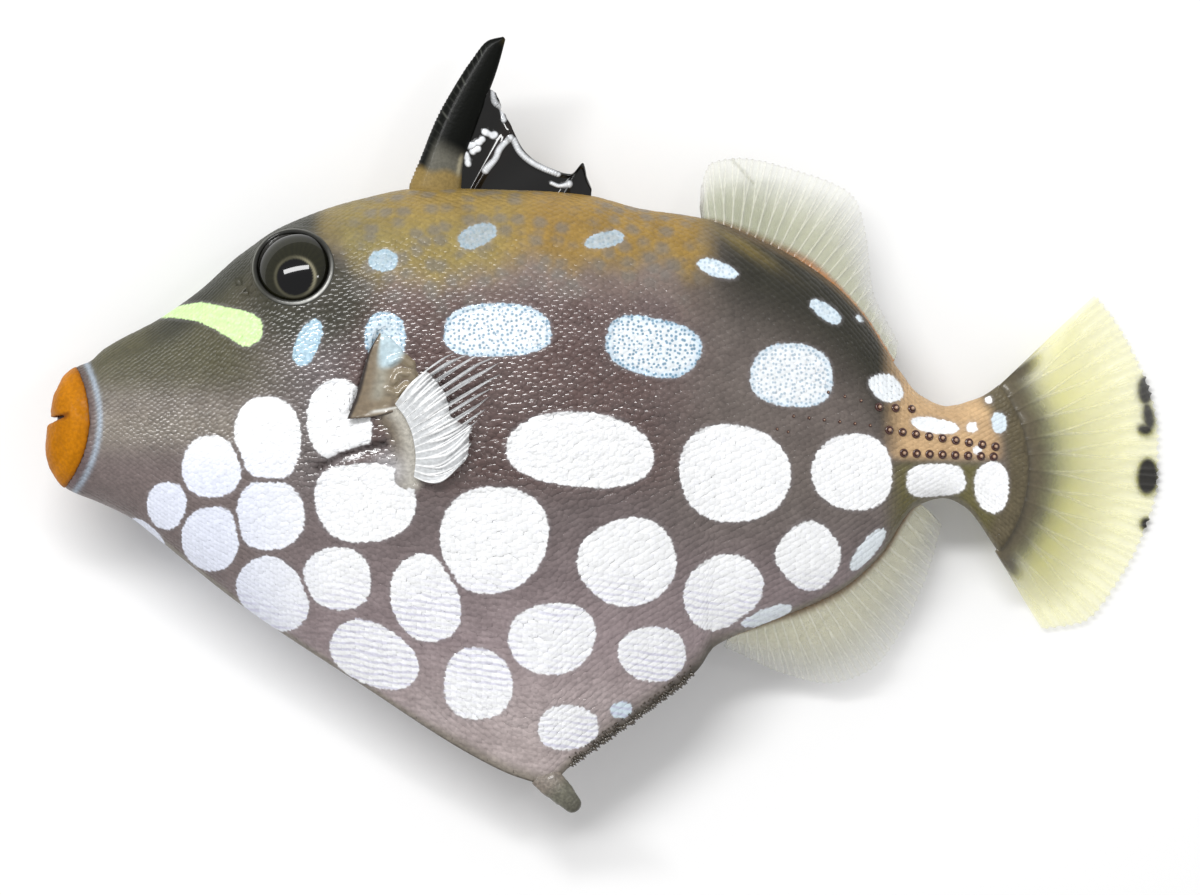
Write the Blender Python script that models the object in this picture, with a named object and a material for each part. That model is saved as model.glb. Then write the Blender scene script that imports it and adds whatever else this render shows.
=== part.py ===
"""Clown triggerfish, a young one at life size, lying on its right side.

Sizes are millimetres. A station is the distance behind the snout tip, along +X.
A level is the height above the fish's long axis, towards its back, along +Y.
Heights above the floor run along +Z, so the fish's left flank faces up.
The origin is the middle of the flat that the trunk lies on.
"""
import math

import bmesh
import bpy
from mathutils import Matrix, Vector

MM = 0.001
GAP = 0.3
REST_STATION = 57.0
REST_LEVEL = 4.4

HEAD_END = 37.9
TRUNK_END = 91.35
BODY_END = 108.0

# Outline of the body seen from the side: (station, level).
BACK = (
    (0.0, -0.8), (0.15, 0.9), (0.3, 1.8), (0.9, 3.4), (1.5, 5.4), (2.0, 6.9), (3.3, 8.0),
    (4.9, 8.7), (6.2, 9.9), (12.4, 13.3), (16.8, 16.4), (21.1, 20.2), (26.6, 23.7),
    (34.2, 26.3), (41.0, 27.5), (53.8, 27.2), (59.3, 26.7), (64.7, 25.3), (71.3, 24.3),
    (80.0, 20.9), (84.4, 18.3), (88.7, 14.4), (93.1, 7.8), (95.3, 5.1), (98.3, 3.8),
    (101.8, 4.7), (104.0, 6.1), (108.0, 10.0),
)
BELLY = (
    (0.0, -0.8), (0.2, -2.3), (0.7, -3.5), (2.0, -5.2), (5.9, -6.9), (9.2, -8.5),
    (12.4, -11.0), (21.1, -17.9), (34.2, -26.6), (47.3, -34.9), (51.7, -36.9), (54.7, -37.6),
    (57.1, -35.7), (69.1, -26.9), (71.3, -24.9), (72.9, -22.6), (77.8, -20.4), (86.5, -16.6),
    (90.9, -12.9), (95.0, -7.3), (98.0, -6.4), (100.2, -7.3), (104.0, -12.3), (108.0, -17.0),
)
BELLY_CORNER = 54.7
FLAP_END = 72.9

# The level where the body is widest, and half its width there.
WIDEST_LEVEL = (
    (0.0, -0.8), (2.0, 0.6), (16.8, 1.6), (27.7, 4.4), (60.4, 4.4), (82.2, 1.1), (93.1, -1.1),
    (104.0, -2.6), (108.0, -3.2),
)
HALF_WIDTH = (
    (0.0, 0.3), (0.4, 1.9), (1.1, 2.9), (3.3, 4.3), (8.0, 5.5), (16.8, 7.7), (27.5, 10.2),
    (38.6, 11.5), (46.0, 11.6), (56.0, 11.3), (65.0, 10.1), (74.0, 8.3), (82.0, 6.4),
    (93.0, 3.8), (101.0, 2.4), (108.0, 1.0),
)
# Height of the middle of the body above the floor: the tail sinks towards it.
MID_HEIGHT = ((0.0, 11.1), (50.0, 11.1), (65.0, 10.8), (80.0, 9.4), (93.0, 8.0), (108.0, 6.9))
# How full the section is above the widest level, and how sharply it closes to the keel.
BACK_FULLNESS = ((0.0, 2.0), (20.0, 2.4), (34.0, 2.6), (50.0, 2.2), (108.0, 2.0))
KEEL_FULLNESS = ((0.0, 2.0), (20.0, 2.0), (50.0, 1.6), (70.0, 1.6), (80.0, 2.0), (108.0, 2.0))
KEEL_CLOSING = ((0.0, 0.5), (12.0, 0.55), (50.0, 1.05), (70.0, 1.0), (78.0, 0.6), (90.0, 0.5))

# How the lofts are divided: round the body, along the snout, and along the rest.
RING_STEPS_ABOVE = 7
RING_STEPS_BELOW = 8
SNOUT_STATIONS = (0.15, 0.3, 0.6, 0.9, 1.5, 2.0, 2.6, 3.3, 4.2, 5.0)
HEAD_STEP = 1.8
TRUNK_STEP = 2.0
STALK_STEP = 1.3

# The lips end on an upright cylinder, and the mouth is a slit that opens to the front.
LIP_BARREL_CENTRE = (-5.8, 2.2)
LIP_BARREL_RADIUS = 10.82
LIP_END = 6.5
MOUTH_FRONT = (0.6, 2.1)
MOUTH_CORNER = (2.7, 2.75)
MOUTH_GAPE = 0.9
BARREL_SIDES = 96

EYE_STATION = 27.3
EYE_LEVEL = 18.6
EYE_FACING_LEVEL = 17.6
EYE_RADIUS = 3.95
EYE_BULGE = 2.2
EYE_SINK = 1.0
EYE_SIDES = 24
ORBIT_REACH = (4.25, 3.95)
ORBIT_RIM = 0.55
ORBIT_STEPS = 28
ORBIT_SIDES = 8
NOSTRILS = ((21.3, 17.1), (22.1, 16.0))
NOSTRIL_RADIUS = 0.33
NOSTRIL_DEPTH = 0.8

GILL_SLIT = ((36.6, 11.4), (35.9, 8.9), (34.9, 6.0), (33.8, 3.2))
GILL_SLIT_WIDTH = 0.36
GILL_SLIT_DEPTH = 1.2
GILL_BLADE_REACH = 1.5
GILL_BLADE_LEAN = 0.5
GILL_STEPS = 6
GILL_FOLD_RADIUS = 0.5
GILL_FOLD_AHEAD = 0.55
# How thick a fold of skin is along its length.
FOLD_SHAPE = (0.2, 0.8, 1.0, 1.0, 1.0, 0.8, 0.2)

# Thickness of each fin: its rays at the root, its rays at the edge, and its membrane.
PECTORAL_THICKNESS = (0.85, 0.55, 0.5)
FOLDED_FIN_THICKNESS = (0.8, 0.6, 0.5)
EDGE_FIN_THICKNESS = (1.1, 0.6, 0.5)
TAIL_THICKNESS = (1.5, 0.6, 0.5)
RAY_TAPER = 0.6
MEMBRANE_TAPER = 0.15
ROOT_CLEARANCE = 0.38

FIN_BASE = ((38.9, 3.9), (40.2, 2.0), (40.9, -0.1), (41.1, -2.0), (40.9, -3.9))
FIN_TIPS = (
    (45.8, 9.6), (48.1, 9.1), (49.9, 8.6), (49.3, 6.4), (48.2, 3.0), (47.1, 0.0), (45.2, -2.9),
    (42.8, -4.6),
)
FIN_RAYS = 14
FIN_ROWS = 6
FIN_NOTCH = 0.06
FIN_ROOT_OFFSET = 0.25
FIN_LIFT = 0.75
FIN_LIFT_TO_TIP = 0.6
FIN_FOLD_RADIUS = 0.8
FIN_FOLD_AHEAD = 0.95

FOLDED_FIN_SHIFT = 0.8
FOLDED_FIN_TIPS = ((50.0, 6.6), (51.6, 4.6), (52.2, 1.6), (51.4, -1.6), (49.6, -4.6))
FOLDED_FIN_ROWS = 5
FOLDED_FIN_NOTCH = 0.04
DENT_HEIGHT = 1.25
DENT_MARGIN = 0.45
DENT_STEPS = 8
BELOW_FLOOR = -2.0

SPINE_LEAD = (
    (39.6, 27.6), (40.8, 30.5), (41.9, 33.4), (44.1, 37.8), (46.5, 41.5), (48.3, 43.6), (49.9, 44.0),
)
SPINE_TRAIL = (
    (45.3, 27.8), (45.5, 30.0), (46.8, 33.8), (48.3, 37.9), (49.0, 39.8), (49.5, 41.4), (50.1, 43.7),
)
SPINE_STATION = 40.0
SPINE_HALF_THICKNESS = 1.5
SPINE_TIP_HALF_THICKNESS = 0.3
SPINE_TAPER = 0.75
SPINE_TEETH = 11
SPINE_TOOTH_DEPTH = 0.28
SPINE_SIDES = 12

# The membrane behind the first spine: its edge, where its roots stand, and its two spines.
WEB_EDGE = (
    (49.1, 38.4), (49.5, 36.2), (50.6, 34.5), (51.0, 33.6), (52.1, 31.6), (54.6, 29.7),
    (57.2, 29.0), (58.5, 30.2), (59.0, 28.6), (59.5, 27.4),
)
WEB_FAN = ((0.0, 0.0), (0.26, 0.07), (0.79, 0.78), (1.0, 1.0))
WEB_END = 59.4
WEB_SPINES = (0.26, 0.79)
WEB_COLUMNS = 20
WEB_ROWS = 6
WEB_CLEARANCE = 0.5
WEB_ON_SPINE = 0.66
WEB_SPINE_THICKNESS = (1.7, 0.9)
WEB_THICKNESS = (0.75, 0.55)

SOFT_DORSAL_BASE = (71.4, 92.3)
SOFT_DORSAL_EDGE = (
    (71.5, 27.6), (72.6, 30.4), (75.6, 31.0), (82.2, 29.6), (88.4, 26.6), (89.7, 22.0),
    (90.2, 17.0), (93.2, 10.6),
)
SOFT_DORSAL_RAYS = 26
ANAL_BASE = (74.6, 95.2)
ANAL_EDGE = (
    (74.0, -22.6), (76.2, -23.6), (80.0, -25.4), (85.5, -26.7), (90.2, -25.2), (93.6, -20.8),
    (96.4, -14.6), (98.0, -9.2),
)
ANAL_RAYS = 22
EDGE_FIN_ROWS = 5
EDGE_FIN_NOTCH = 0.03
FIN_DROOP = 6.4
FIN_DROOP_CURVE = 1.6

TAIL_ROOT_CENTRE = (92.8, -3.1)
TAIL_ROOT_RADIUS = 14.5
TAIL_ROOT_ANGLES = (38.5, -39.5)
TAIL_EDGE = (
    (115.1, 16.1), (117.3, 13.3), (119.4, 9.6), (121.2, 5.4), (122.1, 0.6), (122.0, -4.8),
    (120.4, -10.4), (117.4, -16.0), (113.6, -20.2), (109.2, -20.9),
)
TAIL_RAYS = 12
TAIL_ROWS = 7
TAIL_NOTCH = 0.015
TAIL_TIP_HEIGHT = 0.6
TAIL_LANDING = 0.8

# Rows of blunt spines on the tail stalk: first, last and how many.
TUBERCLE_ROWS = (
    ((90.8, 3.6), (94.4, 3.4), 3),
    ((91.9, 1.1), (103.6, -0.7), 9),
    ((93.5, -1.4), (103.4, -1.8), 8),
)
TUBERCLE_RADIUS = 0.38
TUBERCLE_HEIGHT = 0.55
TUBERCLE_SIDES = 6
ROOT_SINK = 0.5

PELVIC_SPINE_BASE = (55.15, -37.4)
PELVIC_SPINE_TIP = (58.1, -40.3)
PELVIC_SPINE_SIZE = (1.25, 0.8)
PELVIC_SPINE_SHAPE = ((0.0, 1.0), (0.25, 0.95), (0.5, 0.8), (0.75, 0.68), (0.92, 0.5), (1.0, 0.25))
PELVIC_SPINE_SIDES = 8
PELVIC_SEAT_SIZE = 4.0

FLAP_SPINES = 15
FLAP_SPINE_SPAN = (58.4, 70.2)
FLAP_SPINE_RADIUS = 0.4
FLAP_SPINE_LENGTH = 0.8
FLAP_SPINE_INSET = (0.3, 0.55)
FLAP_SPINE_WAY = (0.75, -0.66)
FLAP_SPINE_SIDES = 5

SKIN = (0.16, 0.12, 0.11)
LIPS = (0.70, 0.25, 0.01)
GLOSS_BLACK = (0.01, 0.01, 0.012)
CLEAR_FIN = (0.75, 0.74, 0.60)
YELLOW_FIN = (0.80, 0.76, 0.28)
PEDUNCLE = (0.50, 0.33, 0.20)
SHARP_ANGLE = 35


def smooth_between(points):
    """A function of the first coordinate that runs smoothly through the points and never overshoots."""
    xs = [p[0] for p in points]
    ys = [p[1] for p in points]
    slopes = [(ys[i + 1] - ys[i]) / (xs[i + 1] - xs[i]) for i in range(len(xs) - 1)]
    tangents = [slopes[0]]
    for before, after in zip(slopes, slopes[1:]):
        same_way = before * after > 0
        tangents.append(2 * before * after / (before + after) if same_way else 0.0)
    tangents.append(slopes[-1])

    def value(x):
        x = min(max(x, xs[0]), xs[-1])
        i = 0
        while i < len(slopes) - 1 and x > xs[i + 1]:
            i += 1
        step = xs[i + 1] - xs[i]
        t = (x - xs[i]) / step
        rise = t * t * (3 - 2 * t)
        start = tangents[i] * step * t * (1 - t) ** 2
        end = tangents[i + 1] * step * t * t * (t - 1)
        return ys[i] * (1 - rise) + ys[i + 1] * rise + start + end

    return value


def path_along(points):
    """A function of the share of the way along a smooth path through the points."""
    lengths = [0.0]
    for a, b in zip(points, points[1:]):
        lengths.append(lengths[-1] + math.dist(a, b))
    shares = [length / lengths[-1] for length in lengths]
    x_at = smooth_between([(s, p[0]) for s, p in zip(shares, points)])
    y_at = smooth_between([(s, p[1]) for s, p in zip(shares, points)])
    return lambda share: (x_at(share), y_at(share))


back_level = smooth_between(BACK)
belly_level = smooth_between(BELLY)
widest_level = smooth_between(WIDEST_LEVEL)
half_width = smooth_between(HALF_WIDTH)
mid_height = smooth_between(MID_HEIGHT)
back_fullness = smooth_between(BACK_FULLNESS)
keel_fullness = smooth_between(KEEL_FULLNESS)
keel_closing = smooth_between(KEEL_CLOSING)


def mix(start, end, share):
    """A value a share of the way from one value to another."""
    return start + (end - start) * share


def place(station, level, height):
    """A point in metres in the part's frame."""
    return Vector(((station - REST_STATION) * MM, (level - REST_LEVEL) * MM, height * MM))


def flank_depth(station, level):
    """How far the flank stands out from the middle of the body."""
    widest = widest_level(station)
    if level >= widest:
        share = min((level - widest) / max(back_level(station) - widest, 0.01), 1.0)
        rest = 1 - share ** back_fullness(station)
        return half_width(station) * math.sqrt(rest)
    share = min((widest - level) / max(widest - belly_level(station), 0.01), 1.0)
    rest = 1 - share ** keel_fullness(station)
    return half_width(station) * rest ** keel_closing(station)


def flank_point(station, level, side):
    """A point of the skin, on the upper (left) flank for side 1 and the lower (right) one for -1."""
    return place(station, level, mid_height(station) + side * flank_depth(station, level))


def flank_normal(station, level, side):
    """The outward direction of the skin at a point of a flank."""
    step = 0.3
    along = flank_point(station + step, level, side) - flank_point(station - step, level, side)
    across = flank_point(station, level + step, side) - flank_point(station, level - step, side)
    return (along.cross(across) * side).normalized()


def body_ring(station):
    """The closed section of the body: over the upper flank to the keel and back under."""
    top = back_level(station)
    widest = widest_level(station)
    keel = belly_level(station)
    above = [math.sin(0.5 * math.pi * (1 - i / RING_STEPS_ABOVE)) for i in range(RING_STEPS_ABOVE)]
    below = [math.sin(0.5 * math.pi * i / RING_STEPS_BELOW) for i in range(RING_STEPS_BELOW + 1)]
    levels = [mix(widest, top, share) for share in above]
    levels += [mix(widest, keel, share) for share in below]
    upper = [flank_point(station, level, 1) for level in levels]
    lower = [flank_point(station, level, -1) for level in levels[1:-1]]
    return upper + lower[::-1]


def stations_between(start, end, step, extra=()):
    """Evenly spaced stations, with some named ones among them."""
    count = max(1, round((end - start) / step))
    even = [mix(start, end, i / count) for i in range(count + 1)]
    inside = [e for e in extra if start < e < end]
    closest = 0.3 * step
    kept = [s for s in even if all(abs(s - e) > closest for e in inside)]
    return sorted(kept + inside)


def object_from(bm, name, collection):
    """A new object with the mesh of a bmesh."""
    mesh = bpy.data.meshes.new(name)
    bmesh.ops.recalc_face_normals(bm, faces=bm.faces)
    bm.to_mesh(mesh)
    bm.free()
    made = bpy.data.objects.new(name, mesh)
    collection.objects.link(made)
    return made


def bridge(bm, ring, following):
    """Faces between two closed rings of as many points."""
    count = len(ring)
    for i in range(count):
        j = (i + 1) % count
        bm.faces.new((ring[i], ring[j], following[j], following[i]))


def loft(rings, start_point=None):
    """A closed tube of rings with fans at its ends, the first from a given point if there is one."""
    bm = bmesh.new()
    loops = [[bm.verts.new(point) for point in ring] for ring in rings]
    for ring, following in zip(loops, loops[1:]):
        bridge(bm, ring, following)
    for loop, ring, point in ((loops[0], rings[0], start_point), (loops[-1], rings[-1], None)):
        hub = bm.verts.new(point or sum(ring, Vector()) / len(ring))
        for i in range(len(loop)):
            bm.faces.new((loop[i], loop[(i + 1) % len(loop)], hub))
    return bm


def cut_flat(bm, point, keep_towards):
    """Cuts a closed mesh with a plane and closes the cut."""
    everything = bm.verts[:] + bm.edges[:] + bm.faces[:]
    bmesh.ops.bisect_plane(
        bm, geom=everything, plane_co=point, plane_no=keep_towards, clear_inner=True, dist=1e-7
    )
    rim = [edge for edge in bm.edges if edge.is_boundary]
    if rim:
        bmesh.ops.holes_fill(bm, edges=rim)
    bmesh.ops.triangulate(bm, faces=bm.faces[:])


def cut_at_floor(bm):
    """Cuts a mesh flat where it lies on the floor."""
    cut_flat(bm, Vector((0, 0, 0)), Vector((0, 0, 1)))


def rest_on_floor(target):
    """Cuts an object flat where it lies on the floor."""
    bm = bmesh.new()
    bm.from_mesh(target.data)
    cut_at_floor(bm)
    bm.to_mesh(target.data)
    bm.free()


def body_loft(stations, start_point=None):
    """A length of the body with flat ends, cut flat where it lies on the floor."""
    bm = loft([body_ring(s) for s in stations], start_point)
    cut_at_floor(bm)
    return bm


def sheet(point, thickness, columns, rows):
    """A thin closed fin round a curved middle surface, split into triangles alike on both faces.

    The point function gives the middle and thickness gives the full thickness, both for a
    column number and the share of the way from root to edge.
    """
    bm = bmesh.new()
    faces = ([], [])
    near_by = 0.05
    for column in range(columns + 1):
        for strip in faces:
            strip.append([])
        for row in range(rows + 1):
            share = row / rows
            middle = point(column, share)
            across = point(min(column + 1, columns), share) - point(max(column - 1, 0), share)
            along = point(column, min(share + near_by, 1)) - point(column, max(share - near_by, 0))
            normal = across.cross(along).normalized()
            if normal.z < 0:
                normal = -normal
            offset = normal * (0.5 * thickness(column, share) * MM)
            for side, strip in zip((1, -1), faces):
                strip[-1].append(bm.verts.new(middle + offset * side))
    for strip in faces:
        for left, right in zip(strip, strip[1:]):
            for row in range(rows):
                bm.faces.new((left[row], left[row + 1], right[row + 1]))
                bm.faces.new((left[row], right[row + 1], right[row]))
    rims = []
    for strip in faces:
        edge = [s[-1] for s in strip[1:-1]]
        root = [s[0] for s in strip[-2:0:-1]]
        rims.append(strip[0] + edge + strip[-1][::-1] + root)
    bridge(bm, *rims)
    return bm


def ray_thickness(sizes):
    """Full thickness of a fin: rays on the even columns, membrane between them."""
    root, tip, membrane = sizes

    def thickness(column, share):
        if column % 2:
            return membrane * (1 - MEMBRANE_TAPER * share)
        return mix(root, tip, share ** RAY_TAPER)

    return thickness


def notched(column, share, notch):
    """The share of the way out, a little short of the edge between the rays."""
    return share * (1 - notch) if column % 2 else share


def rod(points, radii, sides):
    """A tapering rod along a list of points in metres."""
    rings = []
    for i, (point, radius) in enumerate(zip(points, radii)):
        ahead = points[min(i + 1, len(points) - 1)]
        behind = points[max(i - 1, 0)]
        turn = (ahead - behind).to_track_quat("Z", "Y")
        ring = []
        for k in range(sides):
            angle = 2 * math.pi * k / sides
            ring.append(point + turn @ Vector((math.cos(angle), math.sin(angle), 0)) * (radius * MM))
        rings.append(ring)
    return loft(rings)


def cone(base, direction, radius, height, sides):
    """A blunt little cone with its foot at base, given in metres, along a direction."""
    bluntness = 0.25
    bm = bmesh.new()
    bmesh.ops.create_cone(
        bm, cap_ends=True, segments=sides, radius1=radius * MM, radius2=bluntness * radius * MM,
        depth=height * MM,
    )
    turn = direction.to_track_quat("Z", "Y").to_matrix().to_4x4()
    middle = base + direction.normalized() * (0.5 * height * MM)
    bmesh.ops.transform(bm, matrix=Matrix.Translation(middle) @ turn, verts=bm.verts)
    return bm


def fold(base, side, ahead, radius, sides):
    """A rounded fold of skin that follows a path on a flank, thin at its ends."""
    path = path_along(base)
    points = []
    for i in range(len(FOLD_SHAPE)):
        station, level = path(i / (len(FOLD_SHAPE) - 1))
        points.append(flank_point(station - ahead, level, side))
    return rod(points, [radius * share for share in FOLD_SHAPE], sides)


def apply_modifiers(target):
    """Replaces an object's mesh by its evaluated one."""
    graph = bpy.context.evaluated_depsgraph_get()
    result = bpy.data.meshes.new_from_object(target.evaluated_get(graph))
    target.modifiers.clear()
    target.data = result


def closed_surfaces(bm):
    """The faces of a mesh in groups that hang together, the smallest group first."""
    unseen = set(bm.faces)
    groups = []
    while unseen:
        group = set()
        front = [unseen.pop()]
        while front:
            face = front.pop()
            group.add(face)
            for edge in face.edges:
                for neighbour in edge.link_faces:
                    if neighbour in unseen:
                        unseen.remove(neighbour)
                        front.append(neighbour)
        groups.append(group)
    return sorted(groups, key=lambda group: sum(face.calc_area() for face in group))


def keep_largest(target):
    """Keeps only the largest closed surface of an object's mesh."""
    bm = bmesh.new()
    bm.from_mesh(target.data)
    for group in closed_surfaces(bm)[:-1]:
        bmesh.ops.delete(bm, geom=list(group), context="FACES")
    bmesh.ops.triangulate(bm, faces=bm.faces[:])
    bm.to_mesh(target.data)
    bm.free()


def join_to(target, pieces):
    """Fuses small pieces to an object by one union, and removes them."""
    extras = bpy.data.collections.new(target.name + "_pieces")
    bpy.context.scene.collection.children.link(extras)
    for i, bm in enumerate(pieces):
        object_from(bm, f"{target.name}_piece_{i}", extras)
    union = target.modifiers.new("pieces", "BOOLEAN")
    union.operation = "UNION"
    union.operand_type = "COLLECTION"
    union.collection = extras
    union.solver = "EXACT"
    apply_modifiers(target)
    for extra in list(extras.objects):
        bpy.data.objects.remove(extra)
    bpy.data.collections.remove(extras)
    keep_largest(target)


def cut_with(target, cutter, operation="DIFFERENCE"):
    """Adds a live cut to an object."""
    cut = target.modifiers.new(cutter.name, "BOOLEAN")
    cut.operation = operation
    cut.object = cutter
    cut.solver = "EXACT"


def as_cutter(bm, name, cutters):
    """A cutter, which shows only as a wire."""
    made = object_from(bm, name, cutters)
    made.display_type = "WIRE"
    made.hide_render = True
    return made


def barrel(centre, radius):
    """A closed cylinder along Z that runs through the whole body."""
    height = 60.0
    bm = bmesh.new()
    bmesh.ops.create_cone(
        bm, cap_ends=True, segments=BARREL_SIDES, radius1=radius * MM, radius2=radius * MM, depth=height * MM
    )
    bmesh.ops.translate(bm, verts=bm.verts, vec=place(*centre, mid_height(0)))
    return bm


def ball(radius, flatness):
    """A flattened ball round the origin, its short axis along Z."""
    bm = bmesh.new()
    bmesh.ops.create_uvsphere(bm, u_segments=EYE_SIDES, v_segments=EYE_SIDES // 2, radius=radius * MM)
    bmesh.ops.scale(bm, verts=bm.verts, vec=(1, 1, flatness / radius))
    return bm


def eye_frame(side):
    """The place and turn of an eye: sunk in the skin, its Z axis square to it."""
    outward = flank_normal(EYE_STATION, EYE_FACING_LEVEL, side)
    spot = flank_point(EYE_STATION, EYE_LEVEL, side) - outward * (EYE_SINK * MM)
    turn = outward.to_track_quat("Z", "Y").to_matrix().to_4x4()
    return Matrix.Translation(spot) @ turn


def orbit_ring(side):
    """The raised rim of skin round an eye, a ring that follows the skin."""
    bm = bmesh.new()
    rings = []
    for i in range(ORBIT_STEPS):
        angle = 2 * math.pi * i / ORBIT_STEPS
        station = EYE_STATION + ORBIT_REACH[0] * math.cos(angle)
        level = EYE_LEVEL + ORBIT_REACH[1] * math.sin(angle)
        middle = flank_point(station, level, side)
        normal = flank_normal(station, level, side)
        out = Vector((math.cos(angle), math.sin(angle), 0))
        out = (out - normal * out.dot(normal)).normalized()
        ring = []
        for k in range(ORBIT_SIDES):
            turn = 2 * math.pi * k / ORBIT_SIDES
            around = out * math.cos(turn) + normal * math.sin(turn)
            ring.append(bm.verts.new(middle + around * (ORBIT_RIM * MM)))
        rings.append(ring)
    for ring, following in zip(rings, rings[1:] + rings[:1]):
        bridge(bm, ring, following)
    return bm


def gill_blade(side):
    """A thin curved blade that cuts the gill slit into a cheek."""
    rings = []
    path = path_along(GILL_SLIT)
    inward = Vector((-GILL_BLADE_LEAN, 0, -side)).normalized()
    half = Vector((0.5 * GILL_SLIT_WIDTH * MM, 0, 0))
    for i in range(GILL_STEPS + 1):
        skin = flank_point(*path(i / GILL_STEPS), side)
        deep = skin + inward * (GILL_SLIT_DEPTH * MM)
        out = skin - inward * (GILL_BLADE_REACH * MM)
        rings.append([out - half, out + half, deep + half, deep - half])
    return loft(rings)


def nostril_pit(station, level, side):
    """A short round cutter for one nostril."""
    skin = flank_point(station, level, side)
    reach = flank_normal(station, level, side) * (NOSTRIL_DEPTH * MM)
    return rod([skin - reach, skin + reach], (NOSTRIL_RADIUS,) * 2, 8)


def make_head(parts, cutters):
    """The head behind the lips, with eye sockets, orbit rims, nostrils and gill slits."""
    behind = stations_between(SNOUT_STATIONS[-1] + HEAD_STEP, HEAD_END - 0.5 * GAP, HEAD_STEP)
    bm = body_loft(list(SNOUT_STATIONS) + behind, place(*BACK[0], mid_height(0)))
    head = object_from(bm, "head", parts)
    pieces = []
    for side in (1, -1):
        pieces.append(orbit_ring(side))
        pieces.append(fold(GILL_SLIT, side, GILL_FOLD_AHEAD, GILL_FOLD_RADIUS, 6))
    join_to(head, pieces)
    rest_on_floor(head)
    lip_cut = barrel(LIP_BARREL_CENTRE, LIP_BARREL_RADIUS + 0.5 * GAP)
    cut_with(head, as_cutter(lip_cut, "lip_barrel_behind", cutters))
    for side, name in ((1, "left"), (-1, "right")):
        socket = ball(EYE_RADIUS + GAP, EYE_BULGE + GAP)
        bmesh.ops.transform(socket, matrix=eye_frame(side), verts=socket.verts)
        cut_with(head, as_cutter(socket, "eye_socket_" + name, cutters))
        cut_with(head, as_cutter(gill_blade(side), "gill_slit_" + name, cutters))
        for i, nostril in enumerate(NOSTRILS):
            pit = nostril_pit(*nostril, side)
            cut_with(head, as_cutter(pit, f"nostril_{name}_{i}", cutters))
    return head


def make_lip(parts, cutters, name, way):
    """One lip: the snout ahead of the lip border, above (way 1) or below (-1) the mouth."""
    bm = body_loft(list(SNOUT_STATIONS) + [LIP_END], place(*BACK[0], mid_height(0)))
    slope = Vector((MOUTH_CORNER[0] - MOUTH_FRONT[0], MOUTH_CORNER[1] - MOUTH_FRONT[1], 0))
    normal = Vector((-slope.y, slope.x, 0)).normalized() * way
    corner = place(*MOUTH_CORNER, 0) + normal * (0.5 * GAP * MM)
    cut_flat(bm, corner, normal)
    opened = Vector((slope.x, slope.y - 0.5 * way * MOUTH_GAPE, 0))
    gape = Vector((-opened.y, opened.x, 0)).normalized() * way
    cut_flat(bm, corner, gape)
    lip = object_from(bm, name, parts)
    lip_cut = barrel(LIP_BARREL_CENTRE, LIP_BARREL_RADIUS - 0.5 * GAP)
    cut_with(lip, as_cutter(lip_cut, "lip_barrel_" + name, cutters), "INTERSECT")
    return lip


def make_eye(parts, name, side):
    """An eyeball, a flattened ball in its socket."""
    bm = ball(EYE_RADIUS, EYE_BULGE)
    bmesh.ops.transform(bm, matrix=eye_frame(side), verts=bm.verts)
    return object_from(bm, name, parts)


def tubercles(start, end):
    """The blunt spines in rows on both sides of the tail stalk, between two stations."""
    made = []
    for first, last, count in TUBERCLE_ROWS:
        for i in range(count):
            share = i / (count - 1)
            station = mix(first[0], last[0], share)
            level = mix(first[1], last[1], share)
            if not start < station < end:
                continue
            for side in (1, -1):
                normal = flank_normal(station, level, side)
                foot = flank_point(station, level, side) - normal * (ROOT_SINK * MM)
                height = TUBERCLE_HEIGHT + ROOT_SINK
                made.append(cone(foot, normal, TUBERCLE_RADIUS, height, TUBERCLE_SIDES))
    return made


def flap_spines():
    """The little spines along the rear edge of the belly flap."""
    made = []
    first, last = FLAP_SPINE_SPAN
    ahead, inset = FLAP_SPINE_INSET
    for i in range(FLAP_SPINES):
        station = mix(first, last, i / (FLAP_SPINES - 1))
        foot = place(station - ahead, belly_level(station) + inset, mid_height(station))
        length = FLAP_SPINE_LENGTH + ROOT_SINK
        made.append(cone(foot, Vector((*FLAP_SPINE_WAY, 0)), FLAP_SPINE_RADIUS, length, FLAP_SPINE_SIDES))
    return made


def pelvic_seat():
    """A block that cuts the flat at the corner of the belly for the pelvic spine."""
    base = place(*PELVIC_SPINE_BASE, mid_height(BELLY_CORNER))
    tip = place(*PELVIC_SPINE_TIP, mid_height(BELLY_CORNER))
    along = (tip - base).normalized()
    size = PELVIC_SEAT_SIZE * MM
    bm = bmesh.new()
    bmesh.ops.create_cube(bm, size=size)
    turn = along.to_track_quat("X", "Z").to_matrix().to_4x4()
    middle = base + along * (0.5 * size - GAP * MM)
    bmesh.ops.transform(bm, matrix=Matrix.Translation(middle) @ turn, verts=bm.verts)
    return bm


def folded_fin_base():
    """The base of the lower pectoral fin, which lies flat under the flank."""
    return path_along([(station + FOLDED_FIN_SHIFT, level) for station, level in FIN_BASE])


def fin_dent():
    """The hollow under the flank that the folded pectoral fin lies in."""
    base = folded_fin_base()
    edge = path_along(FOLDED_FIN_TIPS)
    rim = []
    back = []
    for i in range(DENT_STEPS + 1):
        inner = Vector(base(i / DENT_STEPS))
        outer = Vector(edge(i / DENT_STEPS))
        rim.append(outer + (outer - inner).normalized() * DENT_MARGIN)
        back.append(inner - Vector((DENT_MARGIN, 0)))
    rise = Vector((0, DENT_MARGIN))
    back[0] += rise
    back[-1] -= rise
    outline = [rim[0] + rise] + rim + [rim[-1] - rise] + back[::-1]
    bm = bmesh.new()
    floor = [bm.verts.new(place(*point, BELOW_FLOOR)) for point in outline]
    roof = [bm.verts.new(place(*point, DENT_HEIGHT)) for point in outline]
    bm.faces.new(floor)
    bm.faces.new(roof)
    bridge(bm, floor, roof)
    bmesh.ops.triangulate(bm, faces=bm.faces[:])
    return bm


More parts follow.
